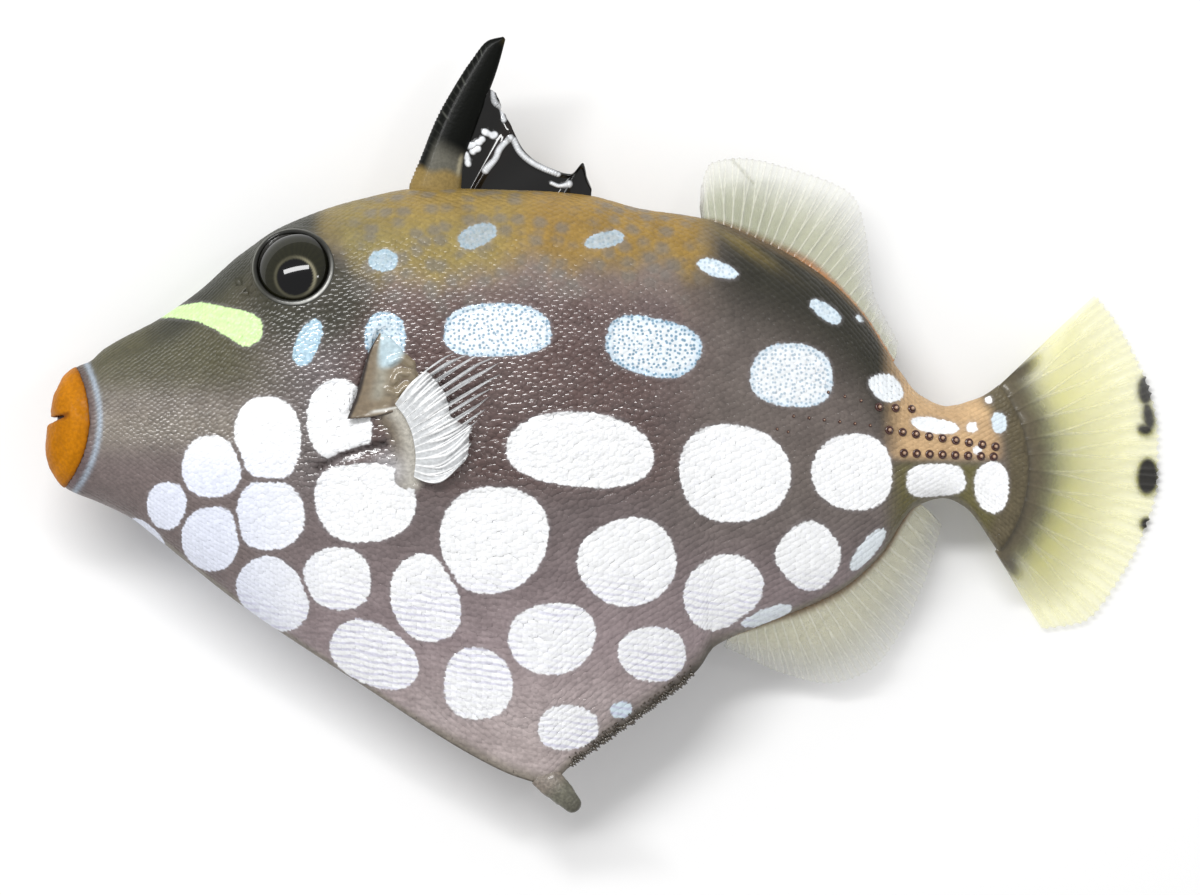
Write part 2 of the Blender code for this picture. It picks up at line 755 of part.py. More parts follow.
def make_trunk(parts, cutters):
    """The trunk with the belly flap, its small spines and the dent for the lower pectoral fin."""
    ends = (HEAD_END + 0.5 * GAP, TRUNK_END - 0.5 * GAP)
    bm = body_loft(stations_between(*ends, TRUNK_STEP, (BELLY_CORNER, FLAP_END)))
    trunk = object_from(bm, "trunk", parts)
    fin_fold = fold(FIN_BASE, 1, FIN_FOLD_AHEAD, FIN_FOLD_RADIUS, 8)
    join_to(trunk, flap_spines() + tubercles(HEAD_END, TRUNK_END) + [fin_fold])
    cut_with(trunk, as_cutter(fin_dent(), "fin_dent", cutters))
    cut_with(trunk, as_cutter(pelvic_seat(), "pelvic_seat", cutters))
    return trunk


def make_tail_stalk(parts, cutters):
    """The tail stalk with its rows of tubercles, flaring to the root of the tail fin."""
    stations = stations_between(TRUNK_END + 0.5 * GAP, BODY_END, STALK_STEP)
    stalk = object_from(body_loft(stations), "tail_stalk", parts)
    join_to(stalk, tubercles(TRUNK_END, BODY_END))
    root_cut = barrel(TAIL_ROOT_CENTRE, TAIL_ROOT_RADIUS - 0.5 * GAP)
    cut_with(stalk, as_cutter(root_cut, "tail_barrel", cutters), "INTERSECT")
    return stalk


def make_tail_fin(parts):
    """The tail fin, a fan of rays that sinks to the floor."""
    edge = path_along(TAIL_EDGE)
    columns = 2 * (TAIL_RAYS - 1)
    first, last = (math.radians(angle) for angle in TAIL_ROOT_ANGLES)
    radius = TAIL_ROOT_RADIUS + 0.5 * GAP

    def point(column, share):
        across = column / columns
        angle = mix(first, last, across)
        root_station = TAIL_ROOT_CENTRE[0] + radius * math.cos(angle)
        root_level = TAIL_ROOT_CENTRE[1] + radius * math.sin(angle)
        out = notched(column, share, TAIL_NOTCH)
        landed = min(share / TAIL_LANDING, 1.0)
        sink = landed * landed * (3 - 2 * landed)
        height = mix(mid_height(root_station), TAIL_TIP_HEIGHT, sink)
        return place(mix(root_station, edge(across)[0], out), mix(root_level, edge(across)[1], out), height)

    bm = sheet(point, ray_thickness(TAIL_THICKNESS), columns, TAIL_ROWS)
    return object_from(bm, "caudal_fin", parts)


def make_edge_fin(parts, name, profile, way, base_span, edge_points, rays):
    """A soft fin along the back (way 1) or the belly (-1), drooping towards the floor."""
    edge = path_along(edge_points)
    columns = 2 * (rays - 1)

    def point(column, share):
        across = column / columns
        station = mix(*base_span, across)
        level = profile(station) + way * ROOT_CLEARANCE
        out = notched(column, share, EDGE_FIN_NOTCH)
        height = mid_height(station)
        drop = FIN_DROOP * (height / mid_height(base_span[0])) * share ** FIN_DROOP_CURVE
        return place(mix(station, edge(across)[0], out), mix(level, edge(across)[1], out), height - drop)

    bm = sheet(point, ray_thickness(EDGE_FIN_THICKNESS), columns, EDGE_FIN_ROWS)
    return object_from(bm, name, parts)


def make_pectoral_left(parts):
    """The upper pectoral fin, a fan raised a little off the flank."""
    base = path_along(FIN_BASE)
    edge = path_along(FIN_TIPS)
    columns = 2 * (FIN_RAYS - 1)

    def point(column, share):
        across = column / columns
        out = notched(column, share, FIN_NOTCH)
        station = mix(base(across)[0] + FIN_ROOT_OFFSET, edge(across)[0], out)
        level = mix(base(across)[1], edge(across)[1], out)
        lift = FIN_LIFT + FIN_LIFT_TO_TIP * share
        return flank_point(station, level, 1) + Vector((0, 0, lift * MM))

    bm = sheet(point, ray_thickness(PECTORAL_THICKNESS), columns, FIN_ROWS)
    return object_from(bm, "pectoral_fin_left", parts)


def make_pectoral_right(parts):
    """The lower pectoral fin, folded back and lying flat on the floor under the flank."""
    base = folded_fin_base()
    edge = path_along(FOLDED_FIN_TIPS)
    columns = 2 * (FIN_RAYS - 1)
    thickness = ray_thickness(FOLDED_FIN_THICKNESS)

    def point(column, share):
        across = column / columns
        out = notched(column, share, FOLDED_FIN_NOTCH)
        station = mix(base(across)[0], edge(across)[0], out)
        level = mix(base(across)[1], edge(across)[1], out)
        return place(station, level, 0.5 * thickness(column, share))

    fin = object_from(sheet(point, thickness, columns, FOLDED_FIN_ROWS), "pectoral_fin_right", parts)
    under_face = 0.2 * MM
    for vertex in fin.data.vertices:
        if vertex.co.z < under_face:
            vertex.co.z = 0.0
    return fin


def make_dorsal_spine(parts):
    """The first dorsal spine, a stout spike with cross ridges down its front."""
    lead = path_along(SPINE_LEAD)
    trail = path_along(SPINE_TRAIL)
    steps = 2 * SPINE_TEETH
    rings = []
    for i in range(steps + 1):
        share = i / steps
        front = Vector(lead(share))
        rear = Vector(trail(share))
        if share == 0:
            front.y = back_level(front.x) + ROOT_CLEARANCE
            rear.y = back_level(rear.x) + ROOT_CLEARANCE
        middle = (front + rear) * 0.5
        reach = (rear - front) * 0.5
        tooth = SPINE_TOOTH_DEPTH * (i % 2) * (1 - share)
        half = SPINE_HALF_THICKNESS * (1 - share) ** SPINE_TAPER + SPINE_TIP_HALF_THICKNESS
        ring = []
        for k in range(SPINE_SIDES):
            angle = 2 * math.pi * k / SPINE_SIDES
            spread = math.cos(angle)
            forward = max(-spread, 0)
            flat = middle + reach * spread - reach.normalized() * (tooth * forward)
            ring.append(place(*flat, mid_height(SPINE_STATION) + half * math.sin(angle)))
        rings.append(ring)
    return object_from(loft(rings), "dorsal_spine", parts)


def make_dorsal_web(parts):
    """The second and third dorsal spines and the membrane that joins them to the first."""
    edge = path_along(WEB_EDGE)
    fan = smooth_between(WEB_FAN)
    trail = path_along(SPINE_TRAIL)
    first = SPINE_TRAIL[0][0] + WEB_CLEARANCE
    ridges = [round(share * WEB_COLUMNS) for share in WEB_SPINES]
    height = mid_height(SPINE_STATION)

    def point(column, share):
        across = column / WEB_COLUMNS
        station = mix(first, WEB_END, fan(across))
        root = back_level(station) + ROOT_CLEARANCE
        if column == 0:
            behind = trail(WEB_ON_SPINE * share)
            return place(max(behind[0], SPINE_TRAIL[1][0]) + WEB_CLEARANCE, max(behind[1], root), height)
        return place(mix(station, edge(across)[0], share), mix(root, edge(across)[1], share), height)

    def thickness(column, share):
        return mix(*(WEB_SPINE_THICKNESS if column in ridges else WEB_THICKNESS), share)

    return object_from(sheet(point, thickness, WEB_COLUMNS, WEB_ROWS), "dorsal_web", parts)


def make_pelvic_spine(parts):
    """The short rough spine at the corner of the belly."""
    base = place(*PELVIC_SPINE_BASE, mid_height(BELLY_CORNER))
    tip = place(*PELVIC_SPINE_TIP, mid_height(BELLY_CORNER))
    along = tip - base
    side = Vector((-along.y, along.x, 0)).normalized()
    wide, deep = PELVIC_SPINE_SIZE
    rings = []
    for share, size in PELVIC_SPINE_SHAPE:
        ring = []
        for k in range(PELVIC_SPINE_SIDES):
            angle = 2 * math.pi * k / PELVIC_SPINE_SIDES
            out = side * (wide * math.cos(angle)) + Vector((0, 0, deep * math.sin(angle)))
            ring.append(base + along * share + out * (size * MM))
        rings.append(ring)
    return object_from(loft(rings), "pelvic_spine", parts)


def finish(part, colour, roughness):
    """Gives a part its own material and smooth shading."""
    material = bpy.data.materials.new(part.name)
    material.use_nodes = True
    shader = material.node_tree.nodes["Principled BSDF"]
    shader.inputs["Base Color"].default_value = (*colour, 1.0)
    shader.inputs["Roughness"].default_value = roughness
    shader.inputs["Metallic"].default_value = 0.0
    part.data.materials.clear()
    part.data.materials.append(material)
    part.data.shade_smooth()
    part.data.set_sharp_from_angle(angle=math.radians(SHARP_ANGLE))


def make_soft_dorsal(parts):
    """The soft fin along the back."""
    return make_edge_fin(
        parts, "soft_dorsal_fin", back_level, 1, SOFT_DORSAL_BASE, SOFT_DORSAL_EDGE, SOFT_DORSAL_RAYS
    )


def make_anal_fin(parts):
    """The soft fin along the belly."""
    return make_edge_fin(parts, "anal_fin", belly_level, -1, ANAL_BASE, ANAL_EDGE, ANAL_RAYS)


def main():
    """Builds every part of the fish."""
    for old in list(bpy.data.objects):
        bpy.data.objects.remove(old)
    parts = bpy.data.collections.new("clown_triggerfish")
    cutters = bpy.data.collections.new("cutters")
    for collection in (parts, cutters):
        bpy.context.scene.collection.children.link(collection)

    finish(make_head(parts, cutters), SKIN, 0.35)
    finish(make_lip(parts, cutters, "upper_lip", 1), LIPS, 0.4)
    finish(make_lip(parts, cutters, "lower_lip", -1), LIPS, 0.4)
    finish(make_eye(parts, "eye_left", 1), GLOSS_BLACK, 0.08)
    finish(make_eye(parts, "eye_right", -1), GLOSS_BLACK, 0.08)
    finish(make_trunk(parts, cutters), SKIN, 0.35)
    finish(make_tail_stalk(parts, cutters), PEDUNCLE, 0.35)
    finish(make_tail_fin(parts), YELLOW_FIN, 0.3)
    finish(make_soft_dorsal(parts), CLEAR_FIN, 0.3)
    finish(make_anal_fin(parts), CLEAR_FIN, 0.3)
    finish(make_pectoral_left(parts), CLEAR_FIN, 0.3)
    finish(make_pectoral_right(parts), CLEAR_FIN, 0.3)
    finish(make_dorsal_spine(parts), GLOSS_BLACK, 0.15)
    finish(make_dorsal_web(parts), GLOSS_BLACK, 0.15)
    finish(make_pelvic_spine(parts), SKIN, 0.4)


main()
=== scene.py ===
"""The look of a young clown triggerfish that lies on its right side.

Sizes are millimetres until they are written to a mesh. A station is the distance behind the snout
tip and a level is the height above the long axis. A ring position runs round the body from 0 to 4:
from the back over the left flank, which faces up, to the keel at 2 and back under the right flank.
"""
from __future__ import annotations

import logging
import math
from dataclasses import dataclass, replace
from enum import Enum
from typing import Callable, Sequence

import bpy
import numpy as np
from mathutils import Matrix, Vector, noise


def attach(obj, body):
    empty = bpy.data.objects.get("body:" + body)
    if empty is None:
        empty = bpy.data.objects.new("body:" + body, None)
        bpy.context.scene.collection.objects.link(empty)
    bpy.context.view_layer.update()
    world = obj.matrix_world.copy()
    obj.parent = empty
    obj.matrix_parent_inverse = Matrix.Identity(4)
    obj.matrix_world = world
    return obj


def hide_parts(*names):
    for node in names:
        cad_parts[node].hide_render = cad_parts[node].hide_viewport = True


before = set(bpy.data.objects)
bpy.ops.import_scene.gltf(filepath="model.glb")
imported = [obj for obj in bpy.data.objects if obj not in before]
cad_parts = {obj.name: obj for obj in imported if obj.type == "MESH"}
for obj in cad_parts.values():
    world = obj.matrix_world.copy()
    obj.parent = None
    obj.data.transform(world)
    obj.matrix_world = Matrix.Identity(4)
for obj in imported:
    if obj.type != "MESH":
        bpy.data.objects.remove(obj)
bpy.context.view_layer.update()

LOG = logging.getLogger("triggerfish")
MM = 0.001
REST_STATION = 57.0
REST_LEVEL = 4.4
Array = np.ndarray
Pairs = Sequence[tuple[float, float]]
Shade = tuple[int, int, int]
Coat = tuple[Array, Shade]
Material = bpy.types.Material
Socket = bpy.types.NodeSocket

BACK = (
    (0.0, -0.8), (0.15, 0.9), (0.3, 1.8), (0.9, 3.4), (1.5, 5.4), (2.0, 6.9), (3.3, 8.0),
    (4.9, 8.7), (6.2, 9.9), (12.4, 13.3), (16.8, 16.4), (21.1, 20.2), (26.6, 23.7),
    (34.2, 26.3), (41.0, 27.5), (53.8, 27.2), (59.3, 26.7), (64.7, 25.3), (71.3, 24.3),
    (80.0, 20.9), (84.4, 18.3), (88.7, 14.4), (93.1, 7.8), (95.3, 5.1), (98.3, 3.8),
    (101.8, 4.7), (104.0, 6.1), (108.0, 10.0),
)
BELLY = (
    (0.0, -0.8), (0.2, -2.3), (0.7, -3.5), (2.0, -5.2), (5.9, -6.9), (9.2, -8.5),
    (12.4, -11.0), (21.1, -17.9), (34.2, -26.6), (47.3, -34.9), (51.7, -36.9), (54.7, -37.6),
    (57.1, -35.7), (69.1, -26.9), (71.3, -24.9), (72.9, -22.6), (77.8, -20.4), (86.5, -16.6),
    (90.9, -12.9), (95.0, -7.3), (98.0, -6.4), (100.2, -7.3), (104.0, -12.3), (108.0, -17.0),
)
SOFT_BELLY = (*BELLY[:9], (43.0, -32.0), (52.0, -35.0), (61.0, -32.2), *BELLY[13:15], *BELLY[16:])
WIDEST_LEVEL = (
    (0.0, -0.8), (2.0, 0.6), (16.8, 1.6), (27.7, 4.4), (60.4, 4.4), (82.2, 1.1), (93.1, -1.1),
    (104.0, -2.6), (108.0, -3.2),
)
HALF_WIDTH = (
    (0.0, 0.3), (0.4, 1.9), (1.1, 2.9), (3.3, 4.3), (8.0, 5.5), (16.8, 7.7), (27.5, 10.2),
    (38.6, 11.5), (46.0, 11.6), (56.0, 11.3), (65.0, 10.1), (74.0, 8.3), (82.0, 6.4),
    (93.0, 3.8), (101.0, 2.4), (108.0, 1.0),
)
MID_HEIGHT = ((0.0, 11.1), (50.0, 11.1), (65.0, 10.8), (80.0, 9.4), (93.0, 8.0), (108.0, 6.9))
BACK_FULLNESS = ((0.0, 2.0), (20.0, 2.4), (34.0, 2.6), (50.0, 2.2), (108.0, 2.0))
KEEL_FULLNESS = ((0.0, 2.0), (20.0, 2.0), (50.0, 1.6), (70.0, 1.6), (80.0, 2.0), (108.0, 2.0))
KEEL_CLOSING = ((0.0, 0.5), (12.0, 0.55), (50.0, 1.05), (70.0, 1.0), (78.0, 0.6), (90.0, 0.5))
BODY_END = 108.0
BELLY_CORNER = 54.7

LIP_CENTRE = (-5.8, 2.2)
LIP_RADIUS = 10.82
MOUTH_FRONT = (0.6, 2.1)
MOUTH_CORNER = (2.7, 2.75)
EYE_PLACE = (27.3, 18.6)
EYE_FACING_LEVEL = 16.2
ORBIT_REACH = (4.25, 3.95)
NOSTRILS = ((21.3, 17.1), (22.1, 16.0))
GILL_SLIT = ((36.6, 11.4), (35.9, 8.9), (34.9, 6.0), (33.8, 3.2))
GILL_FLAP = (
    (36.7, 11.2), (35.5, 9.8), (34.9, 7.6), (34.1, 4.9), (33.5, 2.6), (38.6, 3.4), (40.1, 5.0),
    (40.4, 7.2), (39.0, 9.4),
)
FLAP_FRONT = GILL_FLAP[:5]
CHEEK_CREASE = ((29.9, -3.1), (33.0, -1.6), (37.1, -0.5))
FIN_BASE = ((38.9, 3.9), (40.2, 2.0), (40.9, -0.1), (41.1, -2.0), (40.9, -3.9))
FIN_FOLD = ((38.2, 2.5), *((x - 1.4, y) for x, y in FIN_BASE[1:]))
BELLY_ROW = 0.72
BELLY_FOLD = ((56.4, -28.2), (58.6, -28.3), (60.6, -29.2))
TAIL_ROOT = (92.8, -3.1)
TAIL_ROOT_RADIUS = 14.5


class Side(Enum):
    """A flank of the fish: the left one faces up."""

    LEFT = 1
    RIGHT = -1


class Slot(Enum):
    """Names for the kinds of finish of the pieces, which are handed to each piece but not used."""

    SKIN = "skin"
    TAIL_SKIN = "tail_skin"
    LIPS = "lips"
    EYE = "eye"
    BLACK_SPINE = "black_spine"
    CLEAR_FIN = "clear_fin"
    YELLOW_FIN = "yellow_fin"
    PELVIC = "pelvic"


def linear(red: float, green: float, blue: float) -> Array:
    """A colour as it looks on a screen, from 0 to 255, in linear light."""
    value = np.array((red, green, blue)) / 255
    return np.where(value <= 0.04045, value / 12.92, ((value + 0.055) / 1.055) ** 2.4)


def ease(start: float, end: float, value: Array) -> Array:
    """A smooth step from 0 at start to 1 at end, which may lie either way round."""
    share = np.clip((value - start) / (end - start), 0, 1)
    return share * share * (3 - 2 * share)


def band(start: float, rise: float, fall: float, end: float, value: Array) -> Array:
    """A hill that climbs smoothly from start to rise and drops again from fall to end."""
    return ease(start, rise, value) * ease(end, fall, value)


def bump(value: Array, width: float) -> Array:
    """A rounded bump of height 1 at 0."""
    return np.exp(-((value / width) ** 2))


def mix(start: float, end: float, share: Array) -> Array:
    """A value a share of the way from one to another."""
    return start + (end - start) * share


def lay(colour: Array, mask: Array, over: Array) -> Array:
    """Lays one colour over an array of colours where the mask says."""
    share = np.asarray(mask)[..., None]
    return colour * (1 - share) + over * share


def coated(colour: Array, *coats: Coat) -> Array:
    """Lays colours over one another, in their order.

    Args:
        colour: the lowest colour, in linear light.
        coats: for each colour its mask, and the colour as it looks on a screen.

    Returns:
        The colour of each point, in linear light.
    """
    for mask, shade in coats:
        colour = lay(colour, mask, linear(*shade))
    return colour


def place(station: Array, level: Array, height: Array) -> Array:
    """Points in millimetres in the part's frame."""
    return np.stack(np.broadcast_arrays(station - REST_STATION, level - REST_LEVEL, height), -1)


def chart(points: Array) -> tuple[Array, Array]:
    """The stations and levels of points in the part's frame."""
    return points[:, 0] + REST_STATION, points[:, 1] + REST_LEVEL


def unit(vectors: Array) -> Array:
    """Vectors of length 1."""
    return vectors / np.maximum(np.linalg.norm(vectors, axis=-1, keepdims=True), 1e-9)


class Curve:
    """A smooth function through points that never overshoots, for whole arrays."""

    def __init__(self, points: Pairs) -> None:
        """Works out the tangents.

        Args:
            points: pairs of x and y, x rising.
        """
        self.xs, self.ys = np.array(points, float).T
        slopes = np.diff(self.ys) / np.diff(self.xs)
        before, after = slopes[:-1], slopes[1:]
        same_way = before * after > 0
        total = np.where(same_way, before + after, 1)
        inner = np.where(same_way, 2 * before * after / total, 0)
        self.tangents = np.concatenate((slopes[:1], inner, slopes[-1:]))

    def __call__(self, x: Array) -> Array:
        """The value at each x, held level beyond the ends."""
        x = np.clip(x, self.xs[0], self.xs[-1])
        i = np.clip(np.searchsorted(self.xs, x, side="left") - 1, 0, len(self.xs) - 2)
        step = self.xs[i + 1] - self.xs[i]
        t = (x - self.xs[i]) / step
        rise = t * t * (3 - 2 * t)
        pull = self.tangents[i] * (1 - t) - self.tangents[i + 1] * t
        return self.ys[i] * (1 - rise) + self.ys[i + 1] * rise + pull * step * t * (1 - t)


class Path:
    """A smooth path through points, by the share of the way along it."""

    def __init__(self, points: Pairs) -> None:
        """Measures the way along the points.

        Args:
            points: pairs of station and level.
        """
        spots = np.array(points, float)
        lengths = np.concatenate(([0], np.cumsum(np.linalg.norm(np.diff(spots, axis=0), axis=1))))
        shares = lengths / lengths[-1]
        self.station = Curve(list(zip(shares, spots[:, 0])))
        self.level = Curve(list(zip(shares, spots[:, 1])))

    def distance(
        self, station: Array, level: Array, samples: int = 24, radius: Curve | None = None
    ) -> Array:
        """How far points are from the path, or from the band with a radius along it."""
        shares = np.linspace(0, 1, samples)
        radii = radius(shares) if radius else 0 * shares
        found = np.full(np.shape(station), 1e9)
        for x, y, reach in zip(self.station(shares), self.level(shares), radii):
            found = np.minimum(found, np.hypot(station - x, level - y) - reach)
        return found


def towards(station: Array, level: Array, edge: Path, across: Array, reach: Array) -> tuple[Array, Array]:
    """Points a share of the way from a root to the edge of a fin, at shares across it."""
    return mix(station, edge.station(across), reach), mix(level, edge.level(across), reach)


def polygon_distance(corners: Pairs, station: Array, level: Array) -> Array:
    """How far inside a polygon points lie, negative outside it."""
    nearest = np.full(np.shape(station), 1e9)
    inside = np.zeros(np.shape(station), bool)
    for (x0, y0), (x1, y1) in zip(corners, tuple(corners[1:]) + tuple(corners[:1])):
        share = ((station - x0) * (x1 - x0) + (level - y0) * (y1 - y0)) / math.hypot(x1 - x0, y1 - y0) ** 2
        share = np.clip(share, 0, 1)
        away = np.hypot(station - mix(x0, x1, share), level - mix(y0, y1, share))
        nearest = np.minimum(nearest, away)
        crosses = (y0 > level) != (y1 > level)
        reach = (x1 - x0) * (level - y0) / (y1 - y0 if y1 != y0 else 1e-9) + x0
        inside ^= crosses & (station < reach)
    return np.where(inside, nearest, -nearest)


def behind(line: Pairs, station: Array, level: Array) -> Array:
    """How far points lie behind a line that is given from its top down."""
    return station - Curve([(y, x) for x, y in line[::-1]])(level)


def crease_distance(station: Array, level: Array) -> Array:
    """How far points lie from the crease across the cheek."""
    return Path(CHEEK_CREASE).distance(station, level, 20)


def fold_distance(station: Array, level: Array) -> Array:
    """How far points lie from the fold that the pectoral fin grows from."""
    return Path(FIN_FOLD).distance(station, level)


def lip_distance(station: Array, level: Array) -> Array:
    """How far points lie behind the border of the lips."""
    return np.hypot(station - LIP_CENTRE[0], level - LIP_CENTRE[1]) - LIP_RADIUS


def orbit_share(station: Array, level: Array) -> Array:
    """The distance from the middle of the eye, 1 at the rim of the orbit."""
    across = (station - EYE_PLACE[0]) / ORBIT_REACH[0]
    return np.hypot(across, (level - EYE_PLACE[1]) / ORBIT_REACH[1])


def tail_root_distance(station: Array, level: Array) -> Array:
    """How far points lie ahead of the root of the tail fin."""
    away = np.hypot(np.maximum(station - TAIL_ROOT[0], 0), level - TAIL_ROOT[1])
    return np.where(station < TAIL_ROOT[0], TAIL_ROOT_RADIUS, TAIL_ROOT_RADIUS - away)


@dataclass(frozen=True)
class Relief:
    """The small forms of the skin: orbits, gill slit, folds and creases, as heights."""

    orbit_rim: float = 0.42
    orbit_sink: float = 1.7
    gill_groove: float = 0.5
    gill_fold: float = 0.2
    under_flap: float = 0.35
    fin_fold: float = 0.5
    belly_fold: float = 0.14
    crease: float = 0.55
    nostril: float = 0.5
    under_lips: float = 0.45
    waves: float = 0.10
    furrows: float = 0.065

    def __call__(self, station: Array, level: Array, side: Array) -> Array:
        """The height of the skin over the smooth body."""
        orbit = orbit_share(station, level)
        slit = behind(GILL_SLIT, station, level)
        reach = band(2.4, 3.8, 10.6, 12.2, level)
        under = Path(FLAP_FRONT).distance(station - 0.7, level, 20)
        height = self.orbit_rim * bump(orbit - 1, 0.14) - self.orbit_sink * ease(0.97, 0.8, orbit)
        height -= self.gill_groove * bump(slit, 0.26) * reach
        height += self.gill_fold * bump(slit + 0.75, 0.5) * reach
        height -= self.under_flap * bump(under, 0.8) * (side > 0)
        height -= self.crease * bump(crease_distance(station, level), 0.5)
        height += self.rough(station, level)
        height += self.fin_fold * bump(fold_distance(station, level), 1.4) * np.where(side > 0, 1, 0.3)
        height += self.belly_fold * bump(Path(BELLY_FOLD).distance(station, level), 0.3)
        for x, y in NOSTRILS:
            height -= self.nostril * bump(np.hypot(station - x, level - y), 0.3)
        return height - self.under_lips * ease(0.05, -0.35, lip_distance(station, level))

    def rough(self, station: Array, level: Array) -> Array:
        """The waves and furrows of the skin round the gill slit and behind it."""
        near = bump(station - 36, 9) * bump(level - 6, 6)
        far = np.maximum(near, 0.3 * bump(station - 56, 11) * bump(level - 6, 8))
        waves = np.sin(2.4 * station + 1.3 * np.sin(level)) * np.sin(2.9 * level + np.sin(1.7 * station))
        furrows = np.sin(4.9 * station + 1.8 * np.sin(2.9 * level))
        furrows = furrows * np.sin(5.6 * level + 1.8 * np.sin(3.1 * station))
        return self.waves * near * waves + self.furrows * far * furrows


@dataclass(frozen=True)
class Body:
    """The smooth form of the fish: closed sections along its length, with the skin's relief."""

    back: Curve = Curve(BACK)
    belly: Curve = Curve(BELLY)
    soft_belly: Curve = Curve(SOFT_BELLY)
    widest: Curve = Curve(WIDEST_LEVEL)
    half_width: Curve = Curve(HALF_WIDTH)
    middle: Curve = Curve(MID_HEIGHT)
    back_fullness: Curve = Curve(BACK_FULLNESS)
    keel_fullness: Curve = Curve(KEEL_FULLNESS)
    keel_closing: Curve = Curve(KEEL_CLOSING)
    relief: Relief = Relief()

    def depth(self, station: Array, level: Array) -> Array:
        """How far the flank stands out from the middle plane."""
        widest = self.widest(station)
        up = np.clip((level - widest) / np.maximum(self.back(station) - widest, 0.01), 0, 1)
        down = np.clip((widest - level) / np.maximum(widest - self.belly(station), 0.01), 0, 1)
        inner = np.clip((widest - level) / np.maximum(widest - self.soft_belly(station), 0.01), 0, 1)
        down = mix(inner, down, ease(0.5, 0.97, down))
        above = np.sqrt(1 - up ** self.back_fullness(station))
        below = (1 - down ** self.keel_fullness(station)) ** self.keel_closing(station)
        return self.half_width(station) * np.where(level >= widest, above, below)

    def level(self, station: Array, ring: Array) -> Array:
        """The level of a ring position."""
        swing = np.sin(0.5 * math.pi * np.where(ring < 2, 1 - ring, ring - 3))
        widest = self.widest(station)
        reach = np.where(swing >= 0, self.back(station) - widest, widest - self.belly(station))
        return widest + reach * swing

    def point(self, station: Array, ring: Array) -> Array:
        """Points of the smooth body."""
        level = self.level(station, ring)
        side = np.where(ring < 2, 1, -1)
        return place(station, level, self.middle(station) + side * self.depth(station, level))

    def flank(self, station: Array, level: Array, side: int) -> Array:
        """Points of the smooth body by their level."""
        return place(station, level, self.middle(station) + side * self.depth(station, level))

    def facing(self, station: Array, level: Array, side: int, step: float = 0.3) -> tuple[Array, Array]:
        """The direction up the flank, and the one square to it outwards."""
        along = self.flank(station + step, level, side) - self.flank(station - step, level, side)
        up = self.flank(station, level + step, side) - self.flank(station, level - step, side)
        return up, unit(np.cross(along, up) * side)

    def normal(self, station: Array, ring: Array) -> Array:
        """Outward directions of the smooth body."""
        along = self.point(station + 0.2, ring) - self.point(np.maximum(station - 0.2, 0), ring)
        ahead, behind = np.mod(ring + 0.012, 4), np.mod(ring - 0.012, 4)
        return unit(np.cross(self.point(station, ahead) - self.point(station, behind), along))

    def skin(self, station: Array, ring: Array, lift: float, floor: float) -> Array:
        """Points of the skin.

        Args:
            station, ring: where on the body.
            lift: height over the solid's surface.
            floor: the lowest height that a point may have.
        """
        level = self.level(station, ring)
        out = self.relief(station, level, np.where(ring < 2, 1, -1)) + lift
        points = self.point(station, ring) + self.normal(station, ring) * out[..., None]
        points[..., 2] = np.maximum(points[..., 2], floor)
        return points

    def section(self, station: float) -> tuple[Array, Array]:
        """Ring positions and how far round the section they lie."""
        ring = np.linspace(0, 4, 1201)
        points = self.point(np.full_like(ring, station), np.mod(ring, 4))
        steps = np.linalg.norm(np.diff(points[:, 1:], axis=0), axis=1)
        return ring, np.concatenate(([0], np.cumsum(steps)))


@dataclass(frozen=True)
class Spot:
    """A round pale spot of the flank.

    The lean is the turn of its long way, in degrees, towards the back at its rear. Blue goes from
    0, white, to 1, blue with dark dots.
    """

    station: float
    level: float
    length: float
    height: float
    lean: float = 0.0
    blue: float = 0.0
    square: float = 2.2
    dots: float = 0.0
    dull: float = 0.0
    seed: int = 0

    def inside(self, station: Array, level: Array) -> Array:
        """How far inside the spot points lie, negative outside it."""
        turn = math.radians(self.lean)
        x = station - self.station
        y = level - self.level
        along = (x * math.cos(turn) + y * math.sin(turn)) / self.length
        across = (y * math.cos(turn) - x * math.sin(turn)) / self.height
        angle = np.arctan2(across, along)
        wave = 0.03 * np.sin(2 * angle + self.seed * 1.7) + 0.025 * np.sin(3 * angle + self.seed * 2.9)
        reach = (np.abs(along) ** self.square + np.abs(across) ** self.square) ** (1 / self.square)
        slope = np.hypot(along / self.length, across / self.height)
        slope = slope / np.maximum(np.hypot(along, across), 1e-6)
        return (1 + wave - reach) / np.maximum(slope, 0.05)

    def twin(self, index: int) -> Spot:
        """The spot on the other flank, a little different."""
        dice = np.random.default_rng(400 + index)
        dx, dy, grow = dice.uniform(-0.6, 0.6), dice.uniform(-0.5, 0.5), dice.uniform(0.93, 1.06)
        return replace(
            self, station=self.station + dx, level=self.level + dy, length=self.length * grow,
            height=self.height / grow, lean=self.lean + dice.uniform(-8, 8), seed=self.seed + 50,
        )


